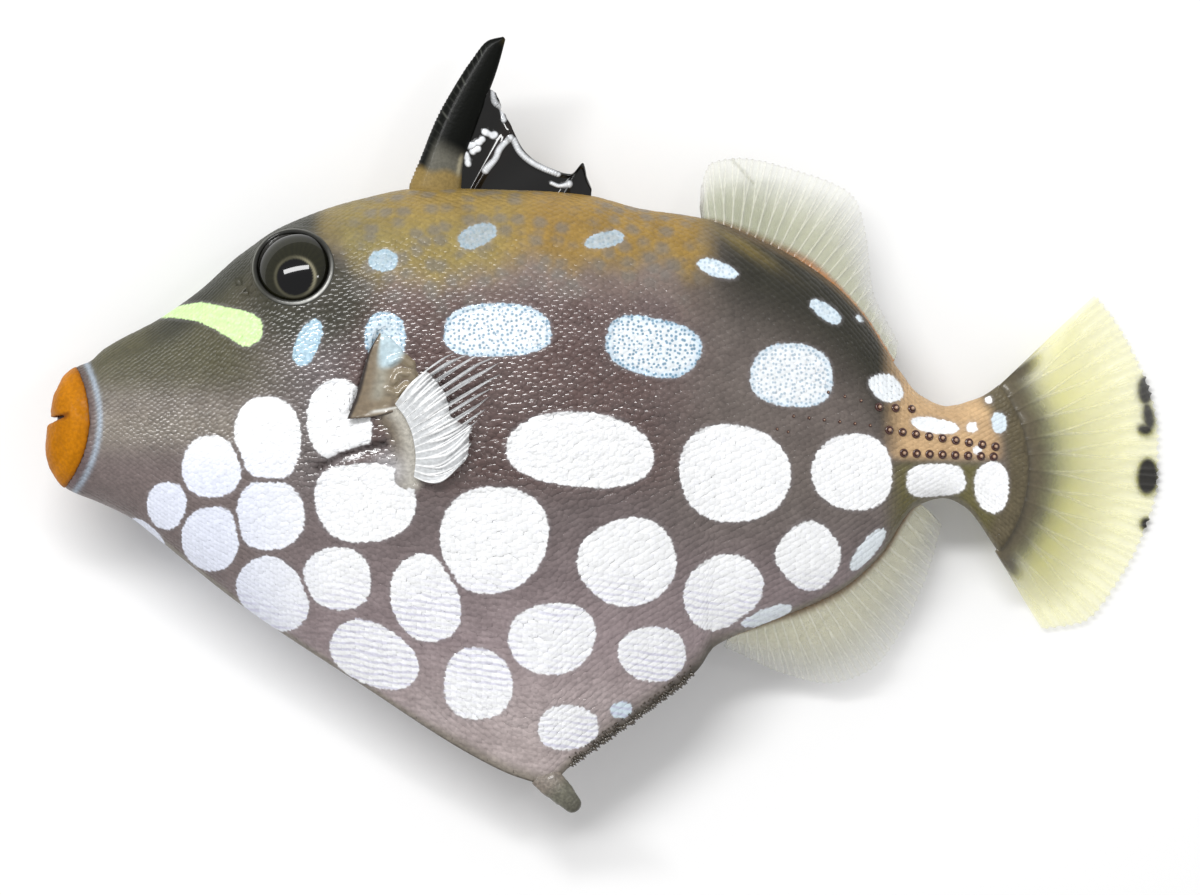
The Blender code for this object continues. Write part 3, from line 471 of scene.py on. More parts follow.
SPOTS = (
    Spot(13.4, -7.1, 2.2, 2.6), Spot(18.4, -2.9, 3.2, 3.5), Spot(24.6, 0.2, 3.7, 4.6),
    Spot(24.7, -8.1, 3.9, 3.8), Spot(18.2, -10.7, 3.2, 3.6), Spot(24.9, -16.7, 4.3, 3.6, -45),
    Spot(32.0, -15.0, 3.8, 3.4), Spot(35.8, -23.4, 5.2, 3.3, -30), Spot(41.5, -17.2, 3.6, 5.0, 20),
    Spot(35.0, -6.7, 5.4, 4.4, 4, 0, 2.4), Spot(32.3, 2.0, 3.6, 4.4, 8), Spot(48.9, -10.7, 5.9, 5.8),
    Spot(58.3, -1.1, 7.8, 4.2, -5), Spot(63.4, -13.2, 5.3, 4.8, 25), Spot(73.7, -16.5, 4.7, 3.7, 35),
    Spot(55.2, -21.5, 4.7, 4.0), Spot(47.1, -26.5, 3.7, 4.1), Spot(66.1, -23.3, 3.8, 3.0),
    Spot(56.9, -31.3, 3.4, 2.5), Spot(62.7, -29.4, 1.2, 1.0, 0, 0.6), Spot(74.9, -3.6, 6.0, 5.4),
    Spot(87.9, -3.5, 4.6, 4.1), Spot(83.1, -12.6, 3.5, 3.5, 45, 0, 2.6), Spot(89.6, -11.9, 2.8, 1.0, 50, 0.3),
    Spot(78.5, -19.2, 3.0, 0.9, 20, 0.3), Spot(81.2, 7.0, 4.7, 3.4, -5, 0.15, 2.4, 0.6),
    Spot(66.1, 10.1, 5.2, 3.2, -15, 0.25, 2.6, 1.0), Spot(49.3, 11.8, 5.7, 3.0, 2, 0.2, 2.6, 0.9),
    Spot(37.3, 10.9, 2.3, 3.0, 0, 0.6, 2.2, 0.8), Spot(28.9, 10.5, 2.8, 1.3, 65, 1.0, 2.2, 0.3),
    Spot(37.0, 19.4, 1.6, 1.3, 0, 0.9, 2.2, 0.3, 0.45), Spot(47.1, 22.1, 2.2, 1.3, 25, 0.6, 2.2, 0.3, 0.72),
    Spot(60.9, 21.7, 2.3, 0.9, 15, 0.5, 2.2, 0.3, 0.6), Spot(73.1, 18.6, 2.4, 0.9, -20, 0.4, 2.2, 0.4),
    Spot(85.0, 14.0, 2.0, 0.9, -35, 0.5, 2.2, 0.3),
    Spot(88.7, 13.3, 0.5, 0.35, -30, 0.5), Spot(91.6, 5.7, 2.2, 1.5, -25, 0.2, 1.7),
    Spot(96.9, 1.6, 2.7, 0.9, -10, 0.1), Spot(101.0, 1.4, 0.65, 0.65), Spot(104.0, 1.9, 0.9, 1.2, 0, 0.5),
    Spot(102.9, 4.4, 0.45, 0.45), Spot(101.6, -1.1, 0.55, 0.55), Spot(97.0, -4.4, 3.2, 1.9, 4, 0, 3.0),
    Spot(103.2, -5.1, 2.0, 2.8), Spot(11.0, -10.2, 2.4, 1.0, -40, 0.1),
)
FLAP_SPOT = SPOTS[28]
BAR = ((12.4, 13.4), (14.4, 13.9), (16.5, 13.95), (18.7, 13.4), (20.7, 12.65), (22.2, 11.95))
BAR_RADIUS = Curve(((0.0, 0.1), (0.2, 0.7), (0.41, 1.02), (0.63, 1.32), (0.84, 1.62), (1.0, 1.85)))


@dataclass(frozen=True)
class Paint:
    """The markings at points of the skin: two colours, what parts them and where the dots lie."""

    ground: Array
    ink: Array
    spot: Array
    zones: Array

    def store(self, piece: Piece) -> None:
        """Stores the markings on a piece."""
        for name, values in vars(self).items():
            piece.store(name, values)


@dataclass(frozen=True)
class Markings:
    """The colours of the skin by place, shared by the skin and its scales."""

    body: Body
    flank: tuple[tuple[float, Shade], ...] = (
        (-34.0, (186, 173, 171)), (-22.0, (158, 143, 145)), (-11.0, (118, 106, 106)),
        (0.0, (106, 98, 97)), (9.0, (112, 102, 102)), (15.0, (126, 113, 114)), (22.0, (118, 106, 100)),
    )
    rear_flank: Shade = (112, 104, 99)
    under_saddle: Shade = (142, 126, 112)
    wet_flank: Shade = (92, 70, 66)
    snout: Shade = (77, 74, 51)
    snout_side: Shade = (132, 124, 114)
    lower_snout: Shade = (117, 105, 103)
    forehead: Shade = (44, 45, 34)
    under_eye: Shade = (46, 46, 28)
    rear: Shade = (30, 31, 16)
    saddle: Shade = (146, 129, 74)
    golden: Shade = (154, 118, 50)
    green: Shade = (112, 110, 74)
    streak: Shade = (140, 122, 62)
    fin_root: Shade = (98, 78, 48)
    stalk: Shade = (104, 98, 60)
    tan: Shade = (203, 170, 128)
    tail_base: Shade = (97, 88, 66)
    keel: Shade = (122, 116, 100)
    flap: Shade = (104, 98, 88)
    flap_border: Shade = (64, 60, 50)
    lip_border: Shade = (98, 76, 78)
    stripe: Shade = (160, 172, 186)
    # Painted shade for the hidden skin inside the lips, seen through the mouth.
    mouth: Shade = (60, 28, 12)
    # Painted shade in the gill slit.
    slit: Shade = (20, 12, 9)
    fold: Shade = (200, 196, 184)
    fold_front: Shade = (112, 101, 84)
    under_fin: Shade = (208, 207, 210)
    # Partly the darker skin between two spots, partly painted shade in the cheek crease.
    crease: Shade = (34, 18, 15)
    orbit: Shade = (34, 33, 28)
    white: Shade = (253, 254, 255)
    lavender: Shade = (230, 235, 251)
    blue: Shade = (182, 212, 228)
    dull: Shade = (138, 144, 142)
    bar: Shade = (206, 240, 166)
    parting: float = 0.2
    saddle_border: Curve = Curve((
        (29.0, 23.0), (33.0, 20.4), (38.0, 18.0), (45.0, 17.6), (49.0, 19.2), (53.0, 20.3),
        (60.0, 19.4), (66.0, 20.2), (71.0, 18.6),
    ))

    def over_saddle(self, station: Array, level: Array) -> Array:
        """How far points lie above the lower border of the saddle."""
        ragged = 0.5 * np.sin(station * 0.9 + 1) + 0.3 * np.sin(station * 2.1)
        return level - self.saddle_border(station) + ragged

    def wet(self, station: Array, level: Array) -> Array:
        """How wet and rough the skin is: most behind the eye and along the cheek."""
        flank = band(22, 30, 60, 76, station) * band(-9, -2, 12, 19, level)
        flank = np.maximum(flank, bump(crease_distance(station, level), 1.4))
        snout = band(8, 12, 22, 28, station) * bump(level - 2.0, 2.2)
        belly = band(38, 44, 58, 64, station) * bump(level + 29.5, 2.5)
        return np.clip(0.15 + flank + snout + 0.7 * belly, 0, 1)

    def flank_coats(self, station: Array, level: Array) -> tuple[Coat, ...]:
        """The shades of the flank behind the head."""
        under = ease(-7.5, -2.5, self.over_saddle(station, level)) * band(30, 36, 68, 76, station)
        wet = self.wet(station, level) * ease(30, 36, station) * ease(-12, -3, level)
        return (
            (ease(62, 74, station) * ease(-16, -4, level), self.rear_flank),
            (0.55 * under, self.under_saddle),
            (0.88 * wet, self.wet_flank),
        )

    def head_coats(self, station: Array, level: Array) -> tuple[Coat, ...]:
        """The shades of the snout, the forehead and the skin under the eye."""
        head = ease(31, 19, station)
        brow = ease(5.5, 1.5, self.body.back(station) - level) * band(9, 15, 29, 35, station)
        return (
            (head * ease(2, 7, level), self.snout),
            (head * bump(level - 1.5, 4.0), self.snout_side),
            (head * band(-22, -12, -4, 1, level), self.lower_snout),
            (0.95 * brow, self.forehead),
            (0.9 * ease(8, 3.5, np.hypot((station - 29) * 0.8, level - 15.5)), self.under_eye),
        )

    def back_coats(self, station: Array, level: Array) -> tuple[Coat, ...]:
        """The dark rear of the back, and the saddle with its golden and its green part."""
        from_back = self.body.back(station) - level
        rear = band(66, 77, 91, 100, station) * ease(15, 4.0, from_back)
        saddle = ease(-2.6, 1.8, self.over_saddle(station, level)) * band(28.5, 33, 69.5, 73.8, station)
        golden = np.maximum(0.55 * ease(6.0, 1.0, from_back), ease(47, 55, station))
        x, y = station - 76.0, level - 21.2
        streak = bump(np.hypot(x * 0.45 + y * 0.3, y + x * 0.55), 0.9)
        root = ease(1.1, 0.2, from_back) * band(72, 76, 92, 98, station)
        return (
            (0.91 * rear, self.rear),
            (saddle, self.saddle),
            (0.7 * saddle * golden, self.golden),
            (0.5 * saddle * ease(42, 32, station), self.green),
            (0.6 * streak, self.streak),
            (0.8 * root, self.fin_root),
        )

    def stalk_coats(self, station: Array, level: Array) -> tuple[Coat, ...]:
        """The two shades of the tail stalk, and the dark root of the tail fin."""
        stalk = band(90.6, 94.0, 103.2, 105.2, station)
        tail = ease(3.4, 1.6, tail_root_distance(station, level)) * ease(97, 101, station)
        return (
            (stalk * ease(-1.8, -3.2, level), self.stalk),
            (stalk * ease(-2.6, -1.4, level), self.tan),
            (tail, self.tail_base),
        )

    def belly_coats(self, station: Array, level: Array) -> tuple[Coat, ...]:
        """The pale keel, and the belly flap with its dark border."""
        from_keel = level - self.body.belly(station)
        rim = ease(mix(1.0, 1.9, band(38, 46, 56, 60, station)), 0.2, from_keel)
        flap = ease(3.2, 0.6, from_keel) * band(56, 61, 72, 77, station)
        border = ease(1.3, 0.3, from_keel + 0.3 * np.sin(3.1 * station)) * band(57, 62, 71, 74, station)
        return (
            (0.8 * rim * ease(8, 14, station), self.keel),
            (0.75 * flap, self.flap),
            (0.75 * border, self.flap_border),
        )

    def lip_coats(self, station: Array, level: Array) -> tuple[Coat, ...]:
        """The pale stripe behind the lips, and painted shade on the skin inside them, which shows through the
        mouth.
        """
        away = lip_distance(station, level)
        return (
            (0.6 * ease(0.95, 0.6, away), self.lip_border),
            (bump(away - 1.15, 0.30), self.stripe),
            # Painted shade of the mouth.
            (ease(0.0, -0.3, away), self.mouth),
        )

    def ground(self, station: Array, level: Array) -> Array:
        """The colour between the spots, with painted shade in the gill slit and the cheek crease."""
        stops = [stop for stop, _ in self.flank]
        bands = np.array([linear(*shade) for _, shade in self.flank])
        colour = np.stack([np.interp(level, stops, bands[:, i]) for i in range(3)], -1)
        coats = (
            self.flank_coats, self.head_coats, self.back_coats, self.stalk_coats, self.belly_coats,
            self.lip_coats,
        )
        for region in coats:
            colour = coated(colour, *region(station, level))
        # The gill slit painted near black as the shade inside the opening.
        slit = bump(behind(GILL_SLIT, station, level), 0.25) * band(2.4, 3.2, 11.2, 12.2, level)
        colour = coated(colour, (0.9 * slit, self.slit))
        back = ease(-1.4, 0.7, behind(FIN_FOLD, station, level))[:, None]
        shade = mix(linear(*self.fold_front), linear(*self.fold), back)
        colour = lay(colour, 0.92 * ease(2.3, 1.1, fold_distance(station, level)), shade)
        # Partly the darker skin between two spots, partly painted shade in the cheek crease.
        crease = bump(crease_distance(station, level), mix(0.25, 0.55, ease(30, 37, station)))
        return coated(
            colour,
            (0.8 * bump(np.hypot(station - 37.6, level + 3.2), 1.9), self.under_fin),
            (0.95 * crease, self.crease),
            (ease(1.06, 0.98, orbit_share(station, level)), self.orbit),
        )

    def paint(self, station: Array, ring: Array) -> Paint:
        """The markings at points of the skin."""
        level = self.body.level(station, ring)
        side = np.where(ring < 2, 1, -1)
        ink = np.broadcast_to(linear(*self.white), (*np.shape(station), 3)).copy()
        spot = np.full(np.shape(station), -9.0)
        second = spot.copy()
        dots = np.zeros(np.shape(station))
        for index, left in enumerate(SPOTS):
            seeded = replace(left, seed=index)
            for way, mark in ((1, seeded), (-1, seeded.twin(index))):
                near = (np.abs(station - mark.station) < 10) & (np.abs(level - mark.level) < 8)
                near &= side == way
                inside = mark.inside(station[near], level[near])
                better = inside > spot[near]
                second[near] = np.maximum(second[near], np.minimum(inside, spot[near]))
                where = np.flatnonzero(near)[better]
                spot[where] = inside[better]
                shade = mix(linear(*self.white), linear(*self.blue), mark.blue)
                ink[where] = mix(shade, linear(*self.dull), mark.dull)
                dots[where] = mark.dots
        ink = coated(ink, (0.9 * ease(34, 18, station) * ease(1, -5, level), self.lavender))
        spot = np.minimum(spot, 0.5 * (spot - second) - self.parting)
        bar = -Path(BAR).distance(station, level, 60, BAR_RADIUS)
        chosen = bar > spot
        spot[chosen], ink[chosen], dots[chosen] = bar[chosen], linear(*self.bar), 0
        cut = fold_distance(station, level) - 1.3
        for away in (cut, crease_distance(station, level) - 0.45, lip_distance(station, level)):
            spot = np.minimum(spot, away)
        speckled = ease(-5.5, -2.0, self.over_saddle(station, level)) * band(30, 36, 69, 74, station)
        zones = np.stack((speckled, dots, self.wet(station, level)), -1)
        return Paint(self.ground(station, level), ink, spot, zones)


class Wiring:
    """Adds nodes to a tree and joins them."""

    def __init__(self, tree: bpy.types.NodeTree) -> None:
        """Takes the tree that the nodes go into."""
        self.tree = tree

    def node(self, kind: str, settings: dict | None = None, **values: object) -> bpy.types.Node:
        """Adds a node.

        Args:
            kind: the kind of shader node.
            settings: properties of the node.
            values: a constant or an output for each named input, with _ for a space.

        Returns:
            The node.
        """
        made = self.tree.nodes.new("ShaderNode" + kind)
        for name, value in (settings or {}).items():
            setattr(made, name, value)
        for name, value in values.items():
            self.feed(made.inputs[name.replace("_", " ")], value)
        return made

    def feed(self, socket: Socket, value: object) -> None:
        """Joins an output to an input, or sets it."""
        if isinstance(value, Socket):
            self.tree.links.new(value, socket)
        else:
            socket.default_value = value

    def maths(self, operation: str, *values: object) -> Socket:
        """The result of a sum on numbers."""
        made = self.tree.nodes.new("ShaderNodeMath")
        made.operation = operation
        for socket, value in zip(made.inputs, values):
            self.feed(socket, value)
        return made.outputs[0]

    def blend(self, factor: object, first: object, second: object, way: str = "MIX") -> Socket:
        """Two colours mixed."""
        made = self.tree.nodes.new("ShaderNodeMix")
        made.data_type = "RGBA"
        made.blend_type = way
        for index, value in ((0, factor), (6, first), (7, second)):
            self.feed(made.inputs[index], value)
        return made.outputs[2]

    def lay(self, mask: object, share: float, under: object, shade: Shade) -> Socket:
        """A colour laid over another where the mask says, with a share of its full strength."""
        return self.blend(self.maths("MULTIPLY", mask, share), under, (*linear(*shade), 1))

    def grey(self, value: object) -> Socket:
        """A grey of a brightness."""
        return self.node("CombineColor", None, Red=value, Green=value, Blue=value).outputs[0]

    def ramp(self, value: object, start: float, end: float, low: float = 0.0, high: float = 1.0) -> Socket:
        """A smooth step from low at start to high at end."""
        if start > end:
            start, end, low, high = end, start, high, low
        made = self.node(
            "MapRange", {"interpolation_type": "SMOOTHSTEP"},
            Value=value, From_Min=start, From_Max=end, To_Min=low, To_Max=high,
        )
        return made.outputs[0]

    def attribute(self, name: str, output: str = "Fac") -> Socket:
        """A value stored on the mesh."""
        return self.node("Attribute", {"attribute_name": name}).outputs[output]

    def parts(self, vector: Socket) -> list[Socket]:
        """The three numbers of a vector."""
        return list(self.node("SeparateXYZ", Vector=vector).outputs)

    def place(self) -> Socket:
        """Where on the piece a point lies."""
        return self.node("TexCoord").outputs["Object"]

    def noise(self, size: float, detail: float = 2.0) -> Socket:
        """Smooth noise with features of a size in millimetres."""
        made = self.node("TexNoise", None, Vector=self.place(), Scale=1 / (size * MM), Detail=detail)
        return made.outputs["Fac"]

    def cells(self, size: float, randomness: float = 1.0, spread: str = "3D") -> Socket:
        """The distance from the middles of cells of a size in millimetres, in sizes."""
        made = self.node(
            "TexVoronoi", {"voronoi_dimensions": spread},
            Vector=self.place(), Scale=1 / (size * MM), Randomness=randomness,
        )
        return made.outputs["Distance"]


def markings_group() -> bpy.types.NodeTree:
    """The pattern of the skin, from what is stored on the mesh."""
    tree = bpy.data.node_groups.new("markings", "ShaderNodeTree")
    tree.interface.new_socket("Color", in_out="OUTPUT", socket_type="NodeSocketColor")
    tree.interface.new_socket("Wet", in_out="OUTPUT", socket_type="NodeSocketFloat")
    wiring, out = Wiring(tree), tree.nodes.new("NodeGroupOutput")
    speckled, dotted, wet = wiring.parts(wiring.attribute("zones", "Vector"))
    fine = wiring.noise(0.45)
    broad = wiring.noise(3.0, 4.0)
    ground = wiring.attribute("ground", "Color")
    darker = wiring.blend(1.0, ground, (0.62, 0.60, 0.60, 1), "MULTIPLY")
    ground = wiring.blend(wiring.ramp(broad, 0.35, 0.7, 0.0, 0.45), ground, darker)
    paler = wiring.blend(1.0, ground, (1.28, 1.28, 1.28, 1), "MULTIPLY")
    ground = wiring.blend(wiring.ramp(fine, 0.3, 0.75, 0.0, 0.4), ground, paler)
    ragged = wiring.maths("MULTIPLY_ADD", wiring.noise(0.9), 0.34, wiring.cells(2.0, 0.85))
    dots = wiring.maths("MULTIPLY", wiring.ramp(ragged, 0.78, 0.36), speckled)
    ground = wiring.lay(dots, 0.62, ground, (116, 112, 106))
    where = wiring.parts(wiring.place())
    wave = wiring.maths("MULTIPLY_ADD", where[0], 0.14, where[1])
    turns = 2 * math.pi / (BELLY_ROW * MM)
    wave = wiring.maths("MULTIPLY_ADD", wave, turns, wiring.maths("MULTIPLY", broad, 9.0))
    rows = wiring.ramp(wiring.maths("SINE", wave), -0.2, 0.9)
    rows = wiring.maths("MULTIPLY", rows, wiring.ramp(where[1], -0.017, -0.023))
    rows = wiring.maths("MULTIPLY", rows, wiring.ramp(wiring.noise(6.0), 0.38, 0.58, 0.25, 1.0))
    ground = wiring.blend(wiring.maths("MULTIPLY", rows, 0.3), ground, darker)
    ink = wiring.lay(rows, 0.5, wiring.attribute("ink", "Color"), (188, 184, 218))
    ink = wiring.lay(wiring.ramp(fine, 0.5, 0.72), 0.2, ink, (206, 208, 230))
    border = wiring.maths("MULTIPLY", wiring.ramp(wiring.attribute("spot"), 1.0, 0.1), dotted)
    ink = wiring.lay(border, 0.45, ink, (150, 196, 226))
    uneven = wiring.maths("MULTIPLY_ADD", wiring.noise(2.5), -0.24, wiring.cells(0.52, 0.75, "2D"))
    blue = wiring.maths("MULTIPLY", wiring.ramp(uneven, 0.27, 0.03), dotted)
    ink = wiring.lay(blue, 0.9, ink, (100, 144, 172))
    edge = wiring.maths("ADD", wiring.attribute("spot"), wiring.maths("MULTIPLY_ADD", fine, 0.4, -0.2))
    ground = wiring.lay(wiring.ramp(edge, -0.4, 0.0), 0.2, ground, (150, 146, 150))
    mask = wiring.ramp(edge, -0.05, 0.14)
    wiring.feed(out.inputs["Color"], wiring.blend(mask, ground, ink))
    patches = wiring.ramp(wiring.noise(3.5, 3.0), 0.36, 0.56, 0.45, 1.0)
    wiring.feed(out.inputs["Wet"], wiring.maths("MULTIPLY", wet, patches))
    return tree


@dataclass(frozen=True)
class Finish:
    """A finish with a wet coat.

    Its colour comes from the markings, or from the tint stored on the mesh, with grain of a size
    in millimetres. Where it is see-through the cover stored on the mesh says how much.
    """

    name: str
    roughness: float = 0.35
    coat: float = 0.6
    coat_roughness: float = 0.08
    coat_ior: float = 1.5
    specular: float = 0.5
    grain: float = 0.6
    grain_depth: float = 0.03
    grain_tint: float = 0.15
    sheer: bool = False
    marked: bool = False
    scaled: bool = False

    def build(self, markings: bpy.types.NodeTree) -> Material:
        """Makes the material."""
        material = bpy.data.materials.new(self.name)
        material.use_nodes = True
        wiring = Wiring(material.node_tree)
        shader = material.node_tree.nodes["Principled BSDF"]
        for name, value in (
            ("Roughness", self.roughness), ("Specular IOR Level", self.specular),
            ("Coat Weight", self.coat), ("Coat Roughness", self.coat_roughness), ("Coat IOR", self.coat_ior),
        ):
            shader.inputs[name].default_value = value
        grain = height = wiring.noise(self.grain, 3.0)
        if self.marked:
            group = wiring.node("Group", {"node_tree": markings})
            colour, wet = group.outputs["Color"], group.outputs["Wet"]
            wiring.feed(shader.inputs["Coat Weight"], wiring.maths("MULTIPLY_ADD", wet, 0.85, self.coat))
            height = wiring.maths("MULTIPLY", grain, wiring.maths("MULTIPLY_ADD", wet, 0.8, 0.2))
        else:
            colour = wiring.attribute("tint", "Color")
        if self.scaled:
            rim, tone, _ = wiring.parts(wiring.attribute("scale", "Vector"))
            shade = wiring.maths("MULTIPLY", wiring.ramp(rim, 0.25, 1.0, 1.03, 0.93), tone)
            colour = wiring.blend(1.0, colour, wiring.grey(shade), "MULTIPLY")
        shade = wiring.ramp(grain, 0.3, 0.7, 1 - self.grain_tint, 1 + 0.5 * self.grain_tint)
        wiring.feed(shader.inputs["Base Color"], wiring.blend(1.0, colour, wiring.grey(shade), "MULTIPLY"))
        if self.grain_depth:
            relief = wiring.node("Bump", None, Height=height, Distance=self.grain_depth * MM, Strength=1.0)
            wiring.feed(shader.inputs["Normal"], relief.outputs["Normal"])
        if self.sheer:
            wiring.feed(shader.inputs["Alpha"], wiring.attribute("cover"))
        return material


class Piece:
    """A mesh object under work, with its vertices as an array in millimetres."""

    def __init__(self, name: str, target: bpy.types.Object | None = None) -> None:
        """Takes an object, or else the one that was just added."""
        self.target = target or bpy.context.object
        self.target.name = name
        self.target.data.name = name

    @classmethod
    def grid(cls, name: str, columns: int, rows: int) -> tuple[Piece, Array, Array]:
        """A flat grid.

        Args:
            name: the name of the piece.
            columns, rows: how many faces each way.

        Returns:
            The piece, and each vertex's share of the way across and up.
        """
        bpy.ops.object.select_all(action="DESELECT")
        bpy.ops.mesh.primitive_grid_add(x_subdivisions=columns, y_subdivisions=rows, size=1)
        made = cls(name)
        flat = made.points() * MM
        return made, flat[:, 0] + 0.5, flat[:, 1] + 0.5

    def read(self, what: str) -> Array:
        """Three numbers of each vertex."""
        vertices = self.target.data.vertices
        values = np.zeros(len(vertices) * 3)
        vertices.foreach_get(what, values)
        return values.reshape(-1, 3)

    def points(self) -> Array:
        """The vertices in millimetres."""
        return self.read("co") / MM

    def move(self, points: Array) -> None:
        """Moves the vertices to points in millimetres."""
        self.target.data.vertices.foreach_set("co", (points * MM).ravel())
        self.target.data.update()

    def normals(self) -> Array:
        """The directions of the vertices."""
        return self.read("normal")

    def store(self, name: str, values: Array) -> None:
        """Stores a number or three for each vertex."""
        kind, key = ("FLOAT", "value") if values.ndim == 1 else ("FLOAT_VECTOR", "vector")
        layer = self.target.data.attributes.new(name, kind, "POINT")
        layer.data.foreach_set(key, np.ascontiguousarray(values, np.float32).ravel())

    def select(self) -> None:
        """Makes this the only selected and the active object."""
        bpy.ops.object.select_all(action="DESELECT")
        self.target.select_set(True)
        bpy.context.view_layer.objects.active = self.target

    def weld(self, distance: float = 0.002) -> None:
        """Joins vertices that lie together and turns the faces outwards."""
        self.select()
        bpy.ops.object.mode_set(mode="EDIT")
        bpy.ops.mesh.select_all(action="SELECT")
        bpy.ops.mesh.remove_doubles(threshold=distance * MM)
        bpy.ops.mesh.normals_make_consistent(inside=False)
        bpy.ops.object.mode_set(mode="OBJECT")

    def modify(self, kind: str, **settings: object) -> None:
        """Adds a modifier and applies it."""
        self.select()
        made = self.target.modifiers.new(kind.lower(), kind)
        for name, value in settings.items():
            setattr(made, name, value)
        bpy.ops.object.modifier_apply(modifier=made.name)

    def thicken(self, thickness: Array) -> None:
        """Gives a sheet its thickness, in millimetres at each vertex, half to each side."""
        most = float(thickness.max())
        group = self.target.vertex_groups.new(name="thickness")
        shares = np.round(thickness / most, 3)
        for share in np.unique(shares):
            group.add(np.flatnonzero(shares == share).tolist(), float(share), "REPLACE")
        self.modify("SOLIDIFY", thickness=most * MM, offset=0.0, vertex_group="thickness", use_rim=True)
        self.target.vertex_groups.clear()

    def wrinkle(self, height: float, size: float) -> None:
        """Moves the vertices in and out by noise."""
        points = self.points()
        heights = np.array([noise.noise(Vector(point / size)) for point in points])
        self.move(points + self.normals() * (height * heights)[:, None])

    def dress(self, material: Material, slot: Slot, *nodes: str) -> None:
        """Gives the piece its finish and its place in the model."""
        self.target.data.materials.clear()
        self.target.data.materials.append(material)
        self.target.data.shade_smooth()
        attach(self.target, "root")
        if nodes:
            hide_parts(*nodes)
        LOG.info("%s: %d faces", self.target.name, len(self.target.data.polygons))


def close_ends(points: Array, along: Array) -> None:
    """Gathers the first and the last ring of a rolled grid in their middles."""
    for end in (along < 0.0005, along > 0.9995):
        points[end] = points[end].mean(axis=0)


def joined_copies(name: str, template: Piece, origins: Array, axes: Array) -> Piece:
    """One mesh of many copies of a piece, which is removed.

    Args:
        name: the name of the joined piece.
        template: the piece that repeats, round the origin.
        origins: where each copy goes, in millimetres.
        axes: for each copy the three vectors that its own axes turn into.

    Returns:
        The joined piece, its vertices in the order of the copies.
    """
    shape = template.points()
    mesh = template.target.data
    counts = np.zeros(len(mesh.polygons), int)
    corners = np.zeros(len(mesh.loops), int)
    mesh.polygons.foreach_get("loop_total", counts)
    mesh.loops.foreach_get("vertex_index", corners)
    copies = len(origins)
    points = origins[:, None, :] + np.einsum("vk,nkj->nvj", shape, axes)
    joined = bpy.data.meshes.new(name)
    joined.vertices.add(copies * len(shape))
    joined.vertices.foreach_set("co", (points * MM).ravel())
    shift = (np.arange(copies) * len(shape))[:, None]
    joined.loops.add(copies * len(corners))
    joined.loops.foreach_set("vertex_index", (corners[None, :] + shift).ravel())
    totals = np.tile(counts, copies)
    joined.polygons.add(len(totals))
    joined.polygons.foreach_set("loop_start", np.concatenate(([0], np.cumsum(totals)[:-1])))
    joined.polygons.foreach_set("loop_total", totals)
    joined.update(calc_edges=True)
    joined.validate()
    bpy.data.objects.remove(template.target)
    made = bpy.data.objects.new(name, joined)
    bpy.context.scene.collection.objects.link(made)
    return Piece(name, made)


@dataclass(frozen=True)
class Skin:
    """The one skin of head, trunk and tail stalk, a little inside the solids."""

    body: Body
    markings: Markings
    sink: float = 0.07
    start: float = 0.9
    head_end: float = 42.0
    head_step: float = 0.27
    step: float = 0.55
    ring_steps: int = 320
    tail_from: float = 97.5

    def tail_end(self, ring: Array) -> Array:
        """The station where each ring position meets the root of the tail fin."""
        station = np.full(np.shape(ring), 105.0)
        for _ in range(60):
            level = self.body.level(station, ring)
            reach = np.maximum(TAIL_ROOT_RADIUS**2 - (level - TAIL_ROOT[1]) ** 2, 1.0)
            station = 0.7 * station + 0.3 * (TAIL_ROOT[0] + np.sqrt(reach))
        return station

    def build(self, material: Material) -> None:
        """Rolls a grid round the body and closes its ends."""
        head = np.arange(self.start, self.head_end, self.head_step)
        rest = np.arange(self.head_end, BODY_END, self.step)
        stations = np.concatenate((head[:1], head, rest, (BODY_END, BODY_END)))
        piece, across, up = Piece.grid("skin", len(stations) - 1, self.ring_steps)
        column = np.rint(across * (len(stations) - 1)).astype(int)
        row = np.rint(up * self.ring_steps).astype(int)
        rings = np.empty((len(stations), self.ring_steps + 1))
        for index, station in enumerate(stations):
            ring, lengths = self.body.section(station)
            rings[index] = np.interp(np.linspace(0, lengths[-1], self.ring_steps + 1), lengths, ring)
        ring = np.mod(rings[column, row], 4)
        station = stations[column]
        tail = station > self.tail_from
        stretch = (self.tail_end(ring[tail]) - self.tail_from) / (BODY_END - self.tail_from)
        station[tail] = self.tail_from + (station[tail] - self.tail_from) * stretch
        points = self.body.skin(station, ring, -self.sink, self.sink)
        snout = column == 0
        points[snout] = points[snout].mean(axis=0)
        last = column == len(stations) - 1
        points[last, 2] = self.body.middle(station[last])
        piece.move(points)
        self.markings.paint(station, ring).store(piece)
        piece.weld()
        piece.dress(material, Slot.SKIN, "head", "trunk", "tail_stalk")


